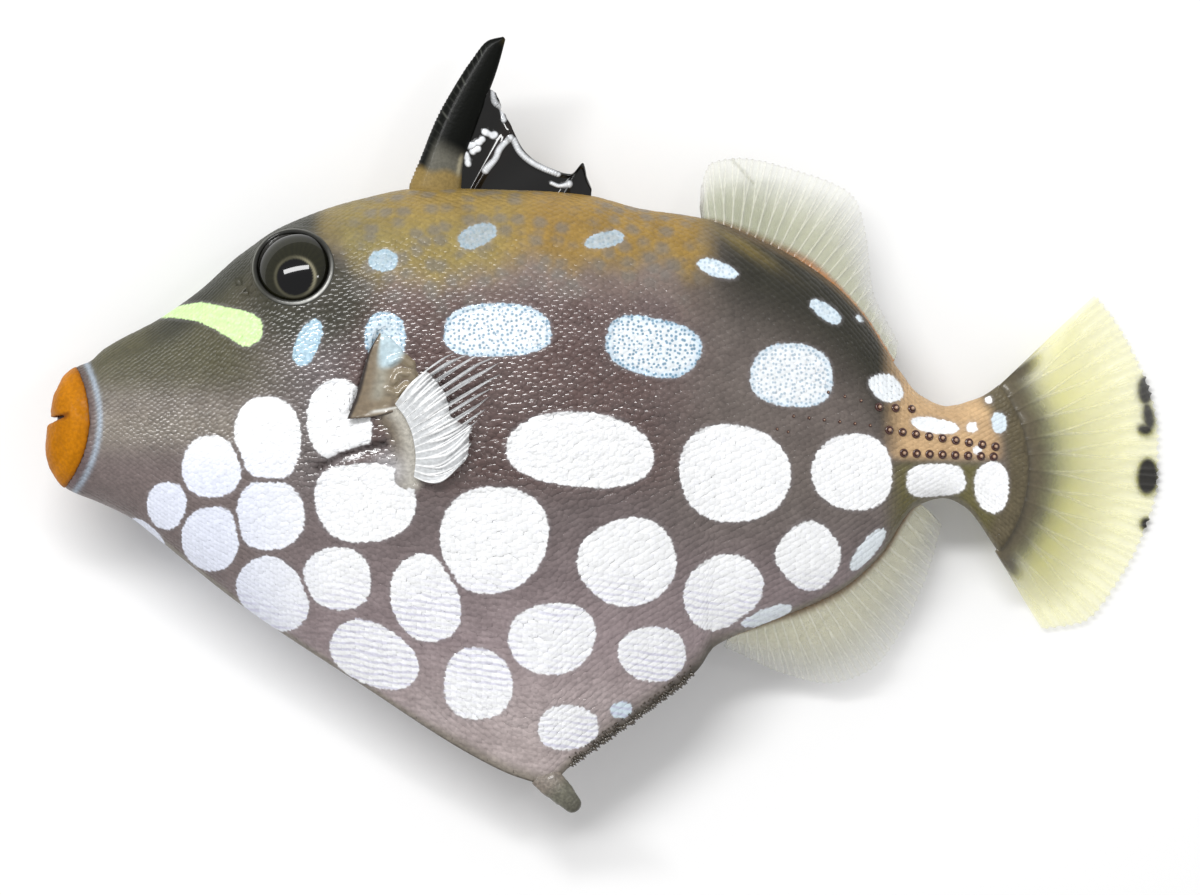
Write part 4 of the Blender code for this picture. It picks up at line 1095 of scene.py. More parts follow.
@dataclass(frozen=True)
class Scales:
    """The coat of small rough plates, in staggered rows that follow the flanks."""

    body: Body
    markings: Markings
    row_step: Curve = Curve((
        (0.0, 0.25), (6.0, 0.26), (20.0, 0.29), (34.0, 0.36), (45.0, 0.40), (80.0, 0.40), (95.0, 0.32),
        (106.0, 0.27),
    ))
    pitch: float = 2.75
    length: float = 1.5
    width: float = 1.42
    thickness: Curve = Curve(((0.0, 0.018), (18.0, 0.02), (34.0, 0.022), (60.0, 0.024), (104.0, 0.02)))
    sink: float = 0.06
    tilt: float = 0.02
    rough: float = 0.12
    swell: float = 2.4
    splits: tuple[float, ...] = (0.0, 24.0, 42.0, 62.0, 109.0)

    def template(self) -> Piece:
        """One scale: a low six-sided plate with a raised middle."""
        bpy.ops.object.select_all(action="DESELECT")
        bpy.ops.mesh.primitive_cone_add(
            vertices=6, radius1=0.5 * MM, radius2=0.38 * MM, depth=1.0 * MM, end_fill_type="TRIFAN"
        )
        piece = Piece("scale")
        points = piece.points()
        centre = np.hypot(points[:, 0], points[:, 1]) < 0.01
        points[:, 2] = np.where(points[:, 2] > 0, 1.0, -1.4)
        points[centre & (points[:, 2] > 0), 2] = 1.4
        piece.move(points)
        return piece

    def lattice(self) -> tuple[Array, Array, Array]:
        """Where the scales root: stations, ring positions and row steps."""
        found = []
        station = 2.0
        column = 0
        while station < BODY_END - 0.3:
            step = float(self.row_step(np.array(station)))
            ring, lengths = self.body.section(station)
            for low, high in ((0, 2), (2, 4)):
                side = (ring >= low) & (ring <= high)
                start = np.interp(1 if low == 0 else 3, ring, lengths)
                first, last = lengths[side][0], lengths[side][-1]
                offset = (column % 2) * step
                many = int((last - first) / step / 2) + 3
                away = start + offset + 2 * step * np.arange(-many, many)
                away = away[(away > first + 0.3 * step) & (away < last - 0.3 * step)]
                rings = np.interp(away, lengths, ring)
                found.append(np.stack((np.full_like(rings, station), rings, np.full_like(rings, step))))
            station += 0.5 * self.pitch * step
            column += 1
        return tuple(np.concatenate(found, axis=1))

    def kept(self, station: Array, ring: Array) -> Array:
        """Which scales grow: none on the lips, the eyes, the gill flap and the fin bases."""
        level = self.body.level(station, ring)
        slit = behind(GILL_SLIT, station, level)
        keep = lip_distance(station, level) > 0.3
        keep &= orbit_share(station, level) > 1.13
        keep &= (polygon_distance(GILL_FLAP, station, level) < 0.2) | (ring > 2)
        keep &= crease_distance(station, level) > mix(0.3, 0.55, ease(30, 37, station))
        keep &= (level - self.body.belly(station) > 0.4) & (self.body.back(station) - level > 0.02)
        keep &= (fold_distance(station, level) > 1.5) | (ring > 2)
        keep &= tail_root_distance(station, level) > 0.45
        keep &= (np.abs(slit) > 0.45) | (level < 2.8) | (level > 11.8)
        for x, y in NOSTRILS:
            keep &= np.hypot(station - x, level - y) > 0.55
        return keep

    def build(self, material: Material) -> None:
        """Covers the skin, in a few pieces."""
        station, ring, step = self.lattice()
        dice = np.random.default_rng(7)
        station = station + dice.uniform(-0.2, 0.2, len(station)) * step
        ring = np.clip(ring + dice.uniform(-0.005, 0.005, len(ring)), 0.001, 3.999)
        keep = self.kept(station, ring)
        station, ring, step = station[keep], ring[keep], step[keep]
        LOG.info("scales: %d", len(station))
        for side in Side:
            for start, end in zip(self.splits, self.splits[1:]):
                chosen = (station >= start) & (station < end) & ((ring < 2) == (side is Side.LEFT))
                name = f"scales_{side.name.lower()}_{int(start)}"
                self.patch(name, station[chosen], ring[chosen], step[chosen], material)

    def patch(self, name: str, station: Array, ring: Array, step: Array, material: Material) -> None:
        """One piece of the coat, each scale laid on the curve of the body."""
        dice = np.random.default_rng(len(station))
        body, many = self.body, len(station)
        reach, turn = 0.2, 0.008
        stretch = body.point(station + reach, ring) - body.point(station - reach, ring)
        stretch = np.linalg.norm(stretch, axis=-1) / (2 * reach)
        span = body.point(station, np.mod(ring + turn, 4)) - body.point(station, np.mod(ring - turn, 4))
        span = np.linalg.norm(span, axis=-1) / (2 * turn)
        template = self.template()
        shape = template.points()
        corners = np.zeros(len(template.target.data.loops), int)
        template.target.data.loops.foreach_get("vertex_index", corners)
        along = shape[:, 0] * (self.length * self.pitch * step)[:, None]
        across = shape[:, 1] * (self.width * 2 * step)[:, None]
        ahead, around = along / np.maximum(stretch, 1)[:, None], -across / span[:, None]
        pale = ease(0, 0.5, self.markings.paint(station, ring).spot)
        level = body.level(station, ring)
        wet = self.markings.wet(station, level) * mix(1, 0.3, pale)
        calm = np.maximum(mix(1, 0.5, pale) * mix(0.6, 1, ease(-22, -13, level)), 0.5)
        loose = 0.01 + self.rough * wet**2
        lean, roll = dice.uniform(-1, 1, (2, many, 1)) * loose[:, None]
        height = self.thickness(station) * dice.uniform(0.9, 1.1, many) * (1 + self.swell * wet) * calm
        lift = height[:, None] * (shape[:, 2] - 0.35) + (self.tilt + lean) * along + roll * across - self.sink
        points = body.skin(station[:, None] + ahead, np.mod(ring[:, None] + around, 4), lift, 0.01)
        axes = np.broadcast_to(np.eye(3), (many, 3, 3))
        piece = joined_copies(name, template, body.point(station, ring), axes)
        piece.move(points.reshape(-1, 3))
        share = 0.8
        painted_at = np.mod(ring[:, None] + share * around, 4)
        self.markings.paint((station[:, None] + share * ahead).ravel(), painted_at.ravel()).store(piece)
        rim = np.hypot(shape[:, 0], shape[:, 1]) / 0.5
        tone = dice.uniform(0.94, 1.05, many)
        marks = np.stack(np.broadcast_arrays(rim[None, :], tone[:, None], 0.0), -1)
        piece.store("scale", marks.reshape(-1, 3))
        self.unwrap(piece, shape, corners, station, ring)
        piece.dress(material, Slot.SKIN)

    def unwrap(self, piece: Piece, shape: Array, corners: Array, station: Array, ring: Array) -> None:
        """Gives each scale a small patch at its root's place on the unrolled skin."""
        patch, margin = 0.003, 0.01
        shares = [(values - values.min()) / max(np.ptp(values), 1e-6) for values in (station, ring)]
        roots = margin + (1 - 2 * margin) * np.stack(shares, -1)
        layer = piece.target.data.uv_layers.new(name="OFBake")
        spots = roots[:, None, :] + patch * shape[None, corners, :2]
        layer.data.foreach_set("uv", spots.ravel().astype(np.float32))


@dataclass(frozen=True)
class Lips:
    """The thick lips: the tip of the snout, with the mouth cut into it and all edges rounded."""

    body: Body
    gape: float = 0.75
    voxel: float = 0.13
    colour: Shade = (174, 107, 0)
    # pale is a painted highlight along the middle of the lips; dark is painted shade at their rear border and
    # in the mouth slit.
    pale: Shade = (206, 130, 8)
    dark: Shade = (112, 56, 4)

    def cut(self, piece: Piece, cutter: bpy.types.Object, operation: str) -> None:
        """Cuts the piece with an object, which is removed."""
        piece.modify("BOOLEAN", object=cutter, operation=operation, solver="EXACT")
        bpy.data.objects.remove(cutter)

    def mouth(self) -> bpy.types.Object:
        """A wedge from the corner of the mouth to the front."""
        bpy.ops.mesh.primitive_cube_add(size=1.0)
        wedge = Piece("mouth")
        corners = wedge.points() * MM
        front = corners[:, 0] < 0
        station = np.where(front, MOUTH_FRONT[0] - 1.2, MOUTH_CORNER[0])
        line = np.where(front, MOUTH_FRONT[1] - 0.35, MOUTH_CORNER[1])
        half = np.where(front, 0.75 * self.gape, 0.07)
        wedge.move(place(station, line + 2 * corners[:, 1] * half, 60 * corners[:, 2] + 11))
        return wedge.target

    def build(self, material: Material) -> None:
        """Makes the lips."""
        piece, across, up = Piece.grid("lips", 44, 120)
        station = 6.4 * across**1.6 + 0.02
        points = self.body.point(station, np.mod(up * 4, 4))
        ends = (across < 0.001) | (across > 0.999)
        points[ends, 2] = self.body.middle(station)[ends]
        points[ends, 1] = (self.body.widest(station) - REST_LEVEL)[ends]
        piece.move(points)
        piece.weld(0.01)
        bpy.ops.mesh.primitive_cylinder_add(
            vertices=200, radius=LIP_RADIUS * MM, depth=0.06,
            location=((LIP_CENTRE[0] - REST_STATION) * MM, (LIP_CENTRE[1] - REST_LEVEL) * MM, 0.011),
        )
        self.cut(piece, bpy.context.object, "INTERSECT")
        self.cut(piece, self.mouth(), "DIFFERENCE")
        piece.modify("REMESH", mode="VOXEL", voxel_size=self.voxel * MM)
        piece.modify("SMOOTH", factor=0.5, iterations=9)
        points = piece.points()
        station, level = chart(points)
        away = lip_distance(station, level)
        plump = bump(level - 4.7, 1.7) * ease(3.2, 1.2, station) * ease(2.6, 3.2, level)
        points[:, 0] -= 0.42 * plump
        points += piece.normals() * 0.06
        piece.move(points)
        piece.wrinkle(0.07, 1.2)
        piece.wrinkle(0.03, 0.35)
        slope = (MOUTH_CORNER[1] - MOUTH_FRONT[1]) / (MOUTH_CORNER[0] - MOUTH_FRONT[0])
        mouth = MOUTH_CORNER[1] + (station - MOUTH_CORNER[0]) * slope
        slit = ease(0.55, 0.1, np.abs(level - mouth)) * ease(3.3, 2.4, station)
        # Painted highlight and painted shade: lighter along the middle of the lips, darker at their rear
        # border and along the mouth slit.
        piece.store("tint", coated(
            linear(*self.colour),
            (0.4 * bump(away + 1.6, 0.8), self.pale),
            (0.45 * ease(-0.5, 0.0, away), self.dark),
            (0.8 * slit, self.dark),
        ))
        piece.dress(material, Slot.LIPS, "upper_lip", "lower_lip")


@dataclass(frozen=True)
class Eye:
    """A glossy eye with its iris and pupil, and the bare rim of skin round it."""

    body: Body
    side: Side
    radius: float = 4.25
    bulge: float = 2.4
    sink: float = 1.1
    pupil_place: tuple[float, float] = (27.5, 17.6)
    pupil: float = 1.95
    rim_share: float = 0.985
    rim_radius: float = 0.32
    rim_lift: float = 0.18

    def turned(self) -> Matrix:
        """The place and turn of the eye, its Z axis square to the skin."""
        way = self.side.value
        station, level = np.array(EYE_PLACE)
        outward = Vector(self.body.facing(station, np.array(EYE_FACING_LEVEL), way)[1])
        spot = Vector(self.body.flank(station, level, way)) - outward * self.sink
        return Matrix.Translation(spot) @ outward.to_track_quat("Z", "Y").to_matrix().to_4x4()

    def build(self, material: Material) -> None:
        """A flattened ball with the colours of the eye, and a painted reflection round the pupil."""
        name = f"eyeball_{self.side.name.lower()}"
        bpy.ops.object.select_all(action="DESELECT")
        bpy.ops.mesh.primitive_uv_sphere_add(segments=128, ring_count=64, radius=self.radius * MM)
        piece = Piece(name)
        local = piece.points()
        matrix = np.array(self.turned())
        points = (local * (1, 1, self.bulge / self.radius)) @ matrix[:3, :3].T + matrix[:3, 3]
        piece.move(points)
        station, level = chart(points)
        x, y = station - self.pupil_place[0], level - self.pupil_place[1]
        away = np.hypot(x, y) + 9 * (local[:, 2] < 0)
        edge = np.hypot(local[:, 0], local[:, 1]) / self.radius
        angle = np.arctan2(y, x)
        streaks = 0.5 + 0.5 * np.sin(angle * 37 + 2 * np.sin(angle * 5))
        # A faint pale ring round the pupil, with a painted reflection of the lens that makes it much brighter
        # towards one side.
        painted_highlight = 0.22 + 0.78 * np.maximum(np.cos(angle - 0.2), 0) ** 1.5
        piece.store("tint", coated(
            linear(32, 32, 17),
            (0.4 * streaks, (18, 18, 8)),
            (ease(0.8, 0.9, edge), (14, 14, 10)),
            (np.clip(bump(away - self.pupil - 0.2, 0.16) * painted_highlight, 0, 1), (150, 145, 120)),
            (ease(self.pupil + 0.06, self.pupil - 0.04, away), (4, 4, 6)),
        ))
        piece.dress(material, Slot.EYE, f"eye_{self.side.name.lower()}")

    def rim(self, material: Material) -> None:
        """The soft ring of bare skin round the eye, with painted reflections of its wet surface and painted
        shade on its inner side.
        """
        piece, across, up = Piece.grid(f"eye_rim_{self.side.name.lower()}", 128, 20)
        angle, turn = 2 * math.pi * across, 2 * math.pi * up
        station = EYE_PLACE[0] + ORBIT_REACH[0] * self.rim_share * np.cos(angle)
        level = EYE_PLACE[1] + ORBIT_REACH[1] * self.rim_share * np.sin(angle)
        _, normal = self.body.facing(station, level, self.side.value)
        out = np.stack((np.cos(angle), np.sin(angle), 0 * angle), -1)
        out = unit(out - normal * (out * normal).sum(-1, keepdims=True))
        centre = self.body.flank(station, level, self.side.value) + normal * self.rim_lift
        ring = out * np.cos(turn)[:, None] + normal * np.sin(turn)[:, None]
        piece.move(centre + self.rim_radius * ring)
        # Painted reflections of the wet rim: a pale grey arc at the upper left and a white line at the lower
        # right.
        pale = bump(np.mod(angle - 0.9, 2 * math.pi) - 1.5, 1.1) * bump(np.mod(turn, 2 * math.pi) - 1.0, 0.45)
        painted_highlight = bump(np.mod(angle + 0.9 + math.pi, 2 * math.pi) - math.pi, 0.75) * bump(turn - 1.2, 0.45)
        piece.store("tint", coated(
            linear(30, 30, 22),
            (0.75 * pale, (138, 138, 122)),
            (painted_highlight, (236, 236, 230)),
            # Painted shade on the inner side of the rim, where it turns towards the eye.
            (0.6 * ease(0.1, -0.8, np.cos(turn)), (10, 10, 8)),
        ))
        piece.weld()
        piece.dress(material, Slot.SKIN)


@dataclass(frozen=True)
class GillFlap:
    """The flap of bare wet skin over the gill slit, free along its front and lower edges."""

    body: Body
    front: Pairs = ((33.2, 2.3), (34.2, 4.9), (34.9, 7.4), (35.5, 9.4), (36.7, 11.5))
    rear: Pairs = ((38.9, 3.3), (40.7, 4.9), (41.0, 7.4), (39.5, 9.6), (37.2, 11.4))
    curls: tuple[Pairs, ...] = (
        ((37.9, 8.4), (39.0, 8.8), (40.2, 8.2)), ((38.2, 6.2), (38.9, 7.2), (39.9, 7.2), (40.6, 6.4)),
        ((37.6, 5.3), (38.6, 5.0), (39.6, 5.8), (40.4, 5.2)), ((38.9, 4.1), (39.8, 4.3), (40.4, 4.2)),
    )
    lift: float = 0.38

    def build(self, material: Material, mark: Spot) -> None:
        """Lays a sheet over the flank, raised at its free edges, with painted highlights and painted shade.

        Args:
            material: the wet skin.
            mark: the spot of the flank whose colour runs onto the flap.
        """
        piece, across, up = Piece.grid("gill_flap", 70, 90)
        front, rear = Path(self.front), Path(self.rear)
        station = mix(front.station(up), rear.station(up), across)
        level = mix(front.level(up), rear.level(up), across) - 0.25 * np.sin(math.pi * across) * (1 - up)
        height = self.lift * (1 - across) ** 2 * ease(1.0, 0.8, up)
        height += 0.4 * self.lift * bump(up, 0.12) * ease(1.0, 0.7, across) + 0.1
        curl = np.min([Path(spots).distance(station, level) for spots in self.curls], axis=0)
        height += 0.42 * bump(curl, 0.34)
        height -= 0.35 * ease(0.85, 1.0, across)
        points = self.body.flank(station, level, 1)
        points[:, 2] += height
        piece.move(points)
        inside = ease(-0.5, 0.4, mark.inside(station, level)) * ease(0.42, 0.6, up) * ease(0.2, 0.4, across)
        piece.store("tint", coated(
            linear(142, 129, 106),
            (0.5 * ease(0.7, 0.2, across), (108, 88, 66)),
            # Painted highlight: a pale streak down the middle of the flap.
            (0.5 * bump(across - 0.35, 0.12) * ease(0.15, 0.3, up), (176, 178, 166)),
            # Painted shade between the curls.
            (0.6 * ease(0.35, 0.7, curl) * ease(0.5, 0.75, across) * ease(0.95, 0.75, up), (74, 54, 42)),
            (0.9 * inside, (190, 214, 224)),
            # Painted highlight: a white wet line along the lower edge.
            (0.85 * bump(up - 0.07, 0.022) * ease(0.3, 0.5, across), (238, 238, 232)),
            # Painted shadow along the front edge and the lower edge.
            (ease(0.09, 0.03, across), (38, 24, 18)),
            (0.7 * ease(0.035, 0.0, up), (44, 30, 22)),
        ))
        piece.thicken(0.22 + 0.16 * bump(across, 0.05) + 0.16 * bump(up, 0.04))
        piece.wrinkle(0.05, 0.5)
        piece.dress(material, Slot.SKIN)


@dataclass(frozen=True)
class Rays:
    """How the rays of a fin stand: how many, how wide and thick, and where they branch."""

    count: int
    root: float
    tip: float
    membrane: float
    width: float = 0.12
    branch_at: float = 0.45
    branch: float = 0.2
    twig: float = 0.0
    columns_each: int = 12
    rows: int = 56

    def ridge(self, across: Array, out: Array) -> Array:
        """1 on a ray, 0 on the membrane."""
        along = across * (self.count - 1)
        away = np.abs(along - np.rint(along))
        away = np.abs(away - self.branch * ease(self.branch_at, self.branch_at + 0.5, out))
        away = np.abs(away - self.twig * ease(self.branch_at + 0.4, 1.0, out))
        return bump(away, self.width * mix(1.0, 0.6, out))

    def thickness(self, ridge: Array, out: Array) -> Array:
        """The full thickness of the fin."""
        between = mix(0.85 * self.root, self.membrane, ease(0.0, 0.3, out))
        return between + np.maximum(mix(self.root, self.tip, out) - between, 0) * ridge


@dataclass(frozen=True)
class Fin:
    """A thin fin of rays and membrane over a middle surface.

    The surface gives points for shares across the fin and out from its root, and the dye gives
    colour and cover for the same shares and the ridge of the rays.
    """

    name: str
    node: str
    slot: Slot
    rays: Rays
    surface: Callable[[Array, Array, Array], Array]
    dye: Callable[[Array, Array, Array], tuple[Array, Array]]

    def build(self, material: Material) -> None:
        """Lays a grid over the surface and thickens it."""
        rays = self.rays
        piece, across, out = Piece.grid(self.name, (rays.count - 1) * rays.columns_each, rays.rows)
        ridge = rays.ridge(across, out)
        points = self.surface(across, out, ridge)
        points[:, 2] = np.maximum(points[:, 2], 0.5 * rays.thickness(ridge, out) + 0.01)
        piece.move(points)
        tint, cover = self.dye(across, out, ridge)
        piece.store("tint", tint)
        piece.store("cover", cover)
        piece.thicken(rays.thickness(ridge, out))
        piece.dress(material, self.slot, self.node)


SOFT_DORSAL_EDGE = (
    (71.5, 27.6), (72.6, 30.4), (75.6, 31.0), (82.2, 29.6), (88.4, 26.6), (89.7, 22.0), (90.2, 17.0),
    (93.2, 10.6),
)
ANAL_EDGE = (
    (74.0, -22.6), (76.2, -23.6), (80.0, -25.4), (85.5, -26.7), (90.2, -25.2), (93.6, -20.8),
    (96.4, -14.6), (98.0, -9.2),
)
TAIL_EDGE = (
    (115.1, 16.1), (117.3, 13.3), (119.4, 9.6), (121.2, 5.4), (122.1, 0.6), (122.0, -4.8),
    (120.4, -10.4), (117.4, -16.0), (113.6, -20.2), (109.2, -20.9),
)
FIN_TIPS = (
    (44.9, 9.3), (46.9, 9.3), (49.6, 8.8), (49.7, 7.3), (48.6, 5.2), (48.2, 3.5), (46.7, 1.3),
    (46.5, -1.0), (45.5, -2.6),
)
FOLDED_FIN_TIPS = ((50.0, 6.6), (51.6, 4.6), (52.2, 1.6), (51.4, -1.6), (49.6, -4.6))
SPINE_LEAD = (
    (39.6, 27.6), (40.8, 30.5), (41.9, 33.4), (44.1, 37.8), (46.5, 41.5), (48.3, 43.6), (49.9, 44.0)
)
SPINE_TRAIL = (
    (45.3, 27.8), (45.5, 30.0), (46.8, 33.8), (48.3, 37.9), (49.0, 39.8), (49.5, 41.4), (50.1, 43.7)
)
WEB_EDGE = (
    (49.1, 38.4), (49.5, 36.2), (50.6, 34.5), (51.0, 33.6), (52.1, 31.6), (54.6, 29.7),
    (57.2, 29.0), (58.5, 30.2), (59.0, 28.6), (59.5, 27.4),
)
WEB_FAN = ((0.0, 0.0), (0.26, 0.07), (0.79, 0.78), (1.0, 1.0))


@dataclass(frozen=True)
class Fins:
    """All the fins of soft rays."""

    body: Body

    def edge_fin(
        self, name: str, node: str, profile: Curve, way: int, base: tuple[float, float], tips: Pairs,
        crease: Pairs, rays: int,
    ) -> Fin:
        """A soft fin along the back (way 1) or the belly (way -1), drooping to the floor."""
        edge = Path(tips)
        start = float(self.body.middle(np.array(base[0])))
        on_back = float(way > 0)

        def surface(across: Array, out: Array, ridge: Array) -> Array:
            """Points of the middle of the fin."""
            station = mix(*base, across)
            level = profile(station) - 0.5 * way
            reach = out * (1 - 0.015 * (1 - ridge) * ease(0.6, 1, out))
            height = self.body.middle(station)
            drop = 6.4 * height / start * out**1.6
            ripple = 0.22 * np.sin(across * math.pi * (rays - 1)) + 0.35 * np.sin(across * 17)
            return place(*towards(station, level, edge, across, reach), height - drop + out * ripple)

        def dye(across: Array, out: Array, ridge: Array) -> tuple[Array, Array]:
            """Colour and cover of the fin."""
            root = ease(0.16, 0.03, out)
            fold = bump(Path(crease).distance(*chart(surface(across, out, ridge))), 0.16)
            tint = coated(
                mix(linear(236, 233, 200), linear(200, 202, 158), on_back),
                (0.75 * on_back * ease(0.65, 0.1, across), (138, 146, 100)),
                (0.7 * ease(0.3, 1.0, out), (236, 238, 226)),
                (0.75 * ridge, (244, 243, 230)),
                (root, (120, 92, 52)),
                (on_back * root * ease(0.35, 0.6, across), (186, 122, 56)),
                (0.8 * on_back * ease(0.035, 0.0, across), (92, 84, 66)),
                (0.5 * fold, (140, 136, 118)),
            )
            cover = 0.30 + 0.22 * ridge + 0.4 * root + 0.3 * fold
            cover += 0.06 * ease(0.5, 0.1, across) - 0.2 * ease(0.4, 1.0, out)
            return tint, np.clip(cover, 0, 1)

        shape = Rays(rays, 0.75, 0.28, 0.16, width=0.1, branch_at=0.3, branch=0.22)
        return Fin(name, node, Slot.CLEAR_FIN, shape, surface, dye)

    def tail(self) -> Fin:
        """The tail fin, a fan that sinks to the floor."""
        edge = Path(TAIL_EDGE)
        first, last = math.radians(38.8), math.radians(-39.8)
        radius = TAIL_ROOT_RADIUS - 0.35
        cover_out = Curve(((0.0, 1.0), (0.12, 0.85), (0.3, 0.33), (0.5, 0.21), (0.75, 0.16), (1.0, 0.13)))
        blotches = (
            Spot(120.6, 5.6, 1.0, 1.7), Spot(120.9, 2.6, 0.7, 1.6, 10), Spot(120.5, 1.2, 0.9, 0.7),
            Spot(120.8, -4.0, 1.3, 2.0), Spot(120.6, -9.2, 0.7, 0.8),
        )

        def surface(across: Array, out: Array, ridge: Array) -> Array:
            """Points of the middle of the fin."""
            angle = mix(first, last, across)
            station, level = TAIL_ROOT[0] + radius * np.cos(angle), TAIL_ROOT[1] + radius * np.sin(angle)
            reach = out * (1 - 0.02 * (1 - ridge) * ease(0.7, 1, out))
            height = mix(self.body.middle(station), 0.6, ease(0, 0.8, out))
            height = height + 0.6 * out * (1 - out) * np.sin(across * 31)
            return place(*towards(station, level, edge, across, reach), height)

        def dye(across: Array, out: Array, ridge: Array) -> tuple[Array, Array]:
            """Colour and cover of the fin."""
            station, level = chart(surface(across, out, ridge))
            middle = bump(across - 0.42, 0.14) * ease(0.7, 0.2, out)
            dark = ease(0.10, 0.02, np.minimum(across, 1 - across)) * ease(0.55, 0.2, out)
            base = ease(0.25, 0.07, out + 0.012 * np.sin(across * 43))
            stain = np.zeros(len(across))
            for index, blotch in enumerate(blotches):
                inside = replace(blotch, square=2.0, seed=index).inside(station, level)
                stain = np.maximum(stain, ease(-0.5, 0.4, inside))
            tint = coated(
                linear(142, 140, 98),
                (ease(0.16, 0.42, out), (255, 250, 108)),
                (ease(0.5, 0.95, out), (255, 252, 160)),
                (0.35 * middle, (150, 156, 120)),
                (dark, (92, 84, 64)),
                (0.5 * ridge * ease(0.1, 0.4, out), (253, 251, 226)),
                (base, (98, 89, 67)),
                (stain, (30, 27, 22)),
            )
            cover = cover_out(out) + 0.16 * ridge * ease(0.2, 0.6, out)
            cover = np.maximum(cover, 0.95 * np.maximum(dark, base))
            return tint, np.clip(np.maximum(cover, mix(0.9, 0.6, ease(0.0, 2.0, level)) * stain), 0, 1)

        rays = Rays(
            13, 0.8, 0.26, 0.18, 0.08, branch_at=0.12, branch=0.25, twig=0.11, columns_each=24, rows=90
        )
        return Fin("tail_fin", "caudal_fin", Slot.YELLOW_FIN, rays, surface, dye)

    def pectoral_left(self) -> Fin:
        """The upper pectoral fin, spread and raised a little, its upper rays free at the ends."""
        base, edge = Path(FIN_BASE), Path(FIN_TIPS)
        web_reach = Curve(((0.0, 0.5), (0.25, 0.4), (0.45, 0.45), (0.6, 0.66), (0.72, 0.94), (1.0, 0.96)))
        last_ray = 13

        def surface(across: Array, out: Array, ridge: Array) -> Array:
            """Points of the middle of the fin."""
            nearest = np.rint(last_ray * across)
            stem = bump(last_ray * across - nearest, 0.15)
            reach = out * mix(web_reach(across), 1.0, ease(0.6, 0.9, stem))
            station, level = towards(base.station(across) - 0.5, base.level(across), edge, across, reach)
            bow = mix(0.9, -1.3, ease(0.0, 1.0, across))
            level += bow * np.sin(math.pi * np.clip(reach, 0, 1))
            level += 0.12 * reach * np.sin(9 * reach + 2.4 * nearest)
            points = self.body.flank(station, level, 1)
            wave = 0.16 * np.sin(across * 26) + 0.1 * np.sin(across * 71 + 3 * out)
            points[:, 2] += 0.7 + 0.6 * out + wave * out
            return points

        def dye(across: Array, out: Array, ridge: Array) -> tuple[Array, Array]:
            """Colour and cover of the fin."""
            cover = 0.62 + 0.38 * ridge - 0.4 * ease(0.8, 1.0, out) * (1 - ridge)
            return coated(linear(238, 241, 243), (ridge, (254, 254, 254))), np.clip(cover, 0, 1)

        rays = Rays(last_ray + 1, 0.55, 0.26, 0.14, branch_at=0.12, columns_each=14, rows=52)
        return Fin("pectoral_left", "pectoral_fin_left", Slot.CLEAR_FIN, rays, surface, dye)

    def pectoral_right(self) -> Fin:
        """The lower pectoral fin, folded back flat under the flank."""
        base, edge = Path([(x + 0.8, y) for x, y in FIN_BASE]), Path(FOLDED_FIN_TIPS)

        def surface(across: Array, out: Array, ridge: Array) -> Array:
            """Points of the middle of the fin."""
            reach = out * (1 - 0.04 * (1 - ridge))
            return place(*towards(base.station(across), base.level(across), edge, across, reach), 0.35)

        def dye(across: Array, out: Array, ridge: Array) -> tuple[Array, Array]:
            """Colour and cover of the fin."""
            tint = coated(linear(188, 192, 204), (ridge, (240, 240, 238)))
            return tint, np.clip(0.42 + 0.5 * ridge, 0, 1)

        rays = Rays(14, 0.55, 0.3, 0.14, 0.13, branch_at=0.9, branch=0.05, columns_each=8, rows=24)
        return Fin("pectoral_right", "pectoral_fin_right", Slot.CLEAR_FIN, rays, surface, dye)

    def build(self, sheer: Material) -> None:
        """Makes every fin."""
        dorsal = self.edge_fin(
            "soft_dorsal", "soft_dorsal_fin", self.body.back, 1, (71.4, 92.3), SOFT_DORSAL_EDGE,
            ((74.6, 31.2), (77.2, 28.2)), 26,
        )
        anal = self.edge_fin(
            "anal", "anal_fin", self.body.belly, -1, (74.6, 95.2), ANAL_EDGE,
            ((88.2, -14.2), (84.4, -20.2), (82.2, -21.8)), 24,
        )
        for fin in (dorsal, anal, self.tail(), self.pectoral_left(), self.pectoral_right()):
            fin.build(sheer)


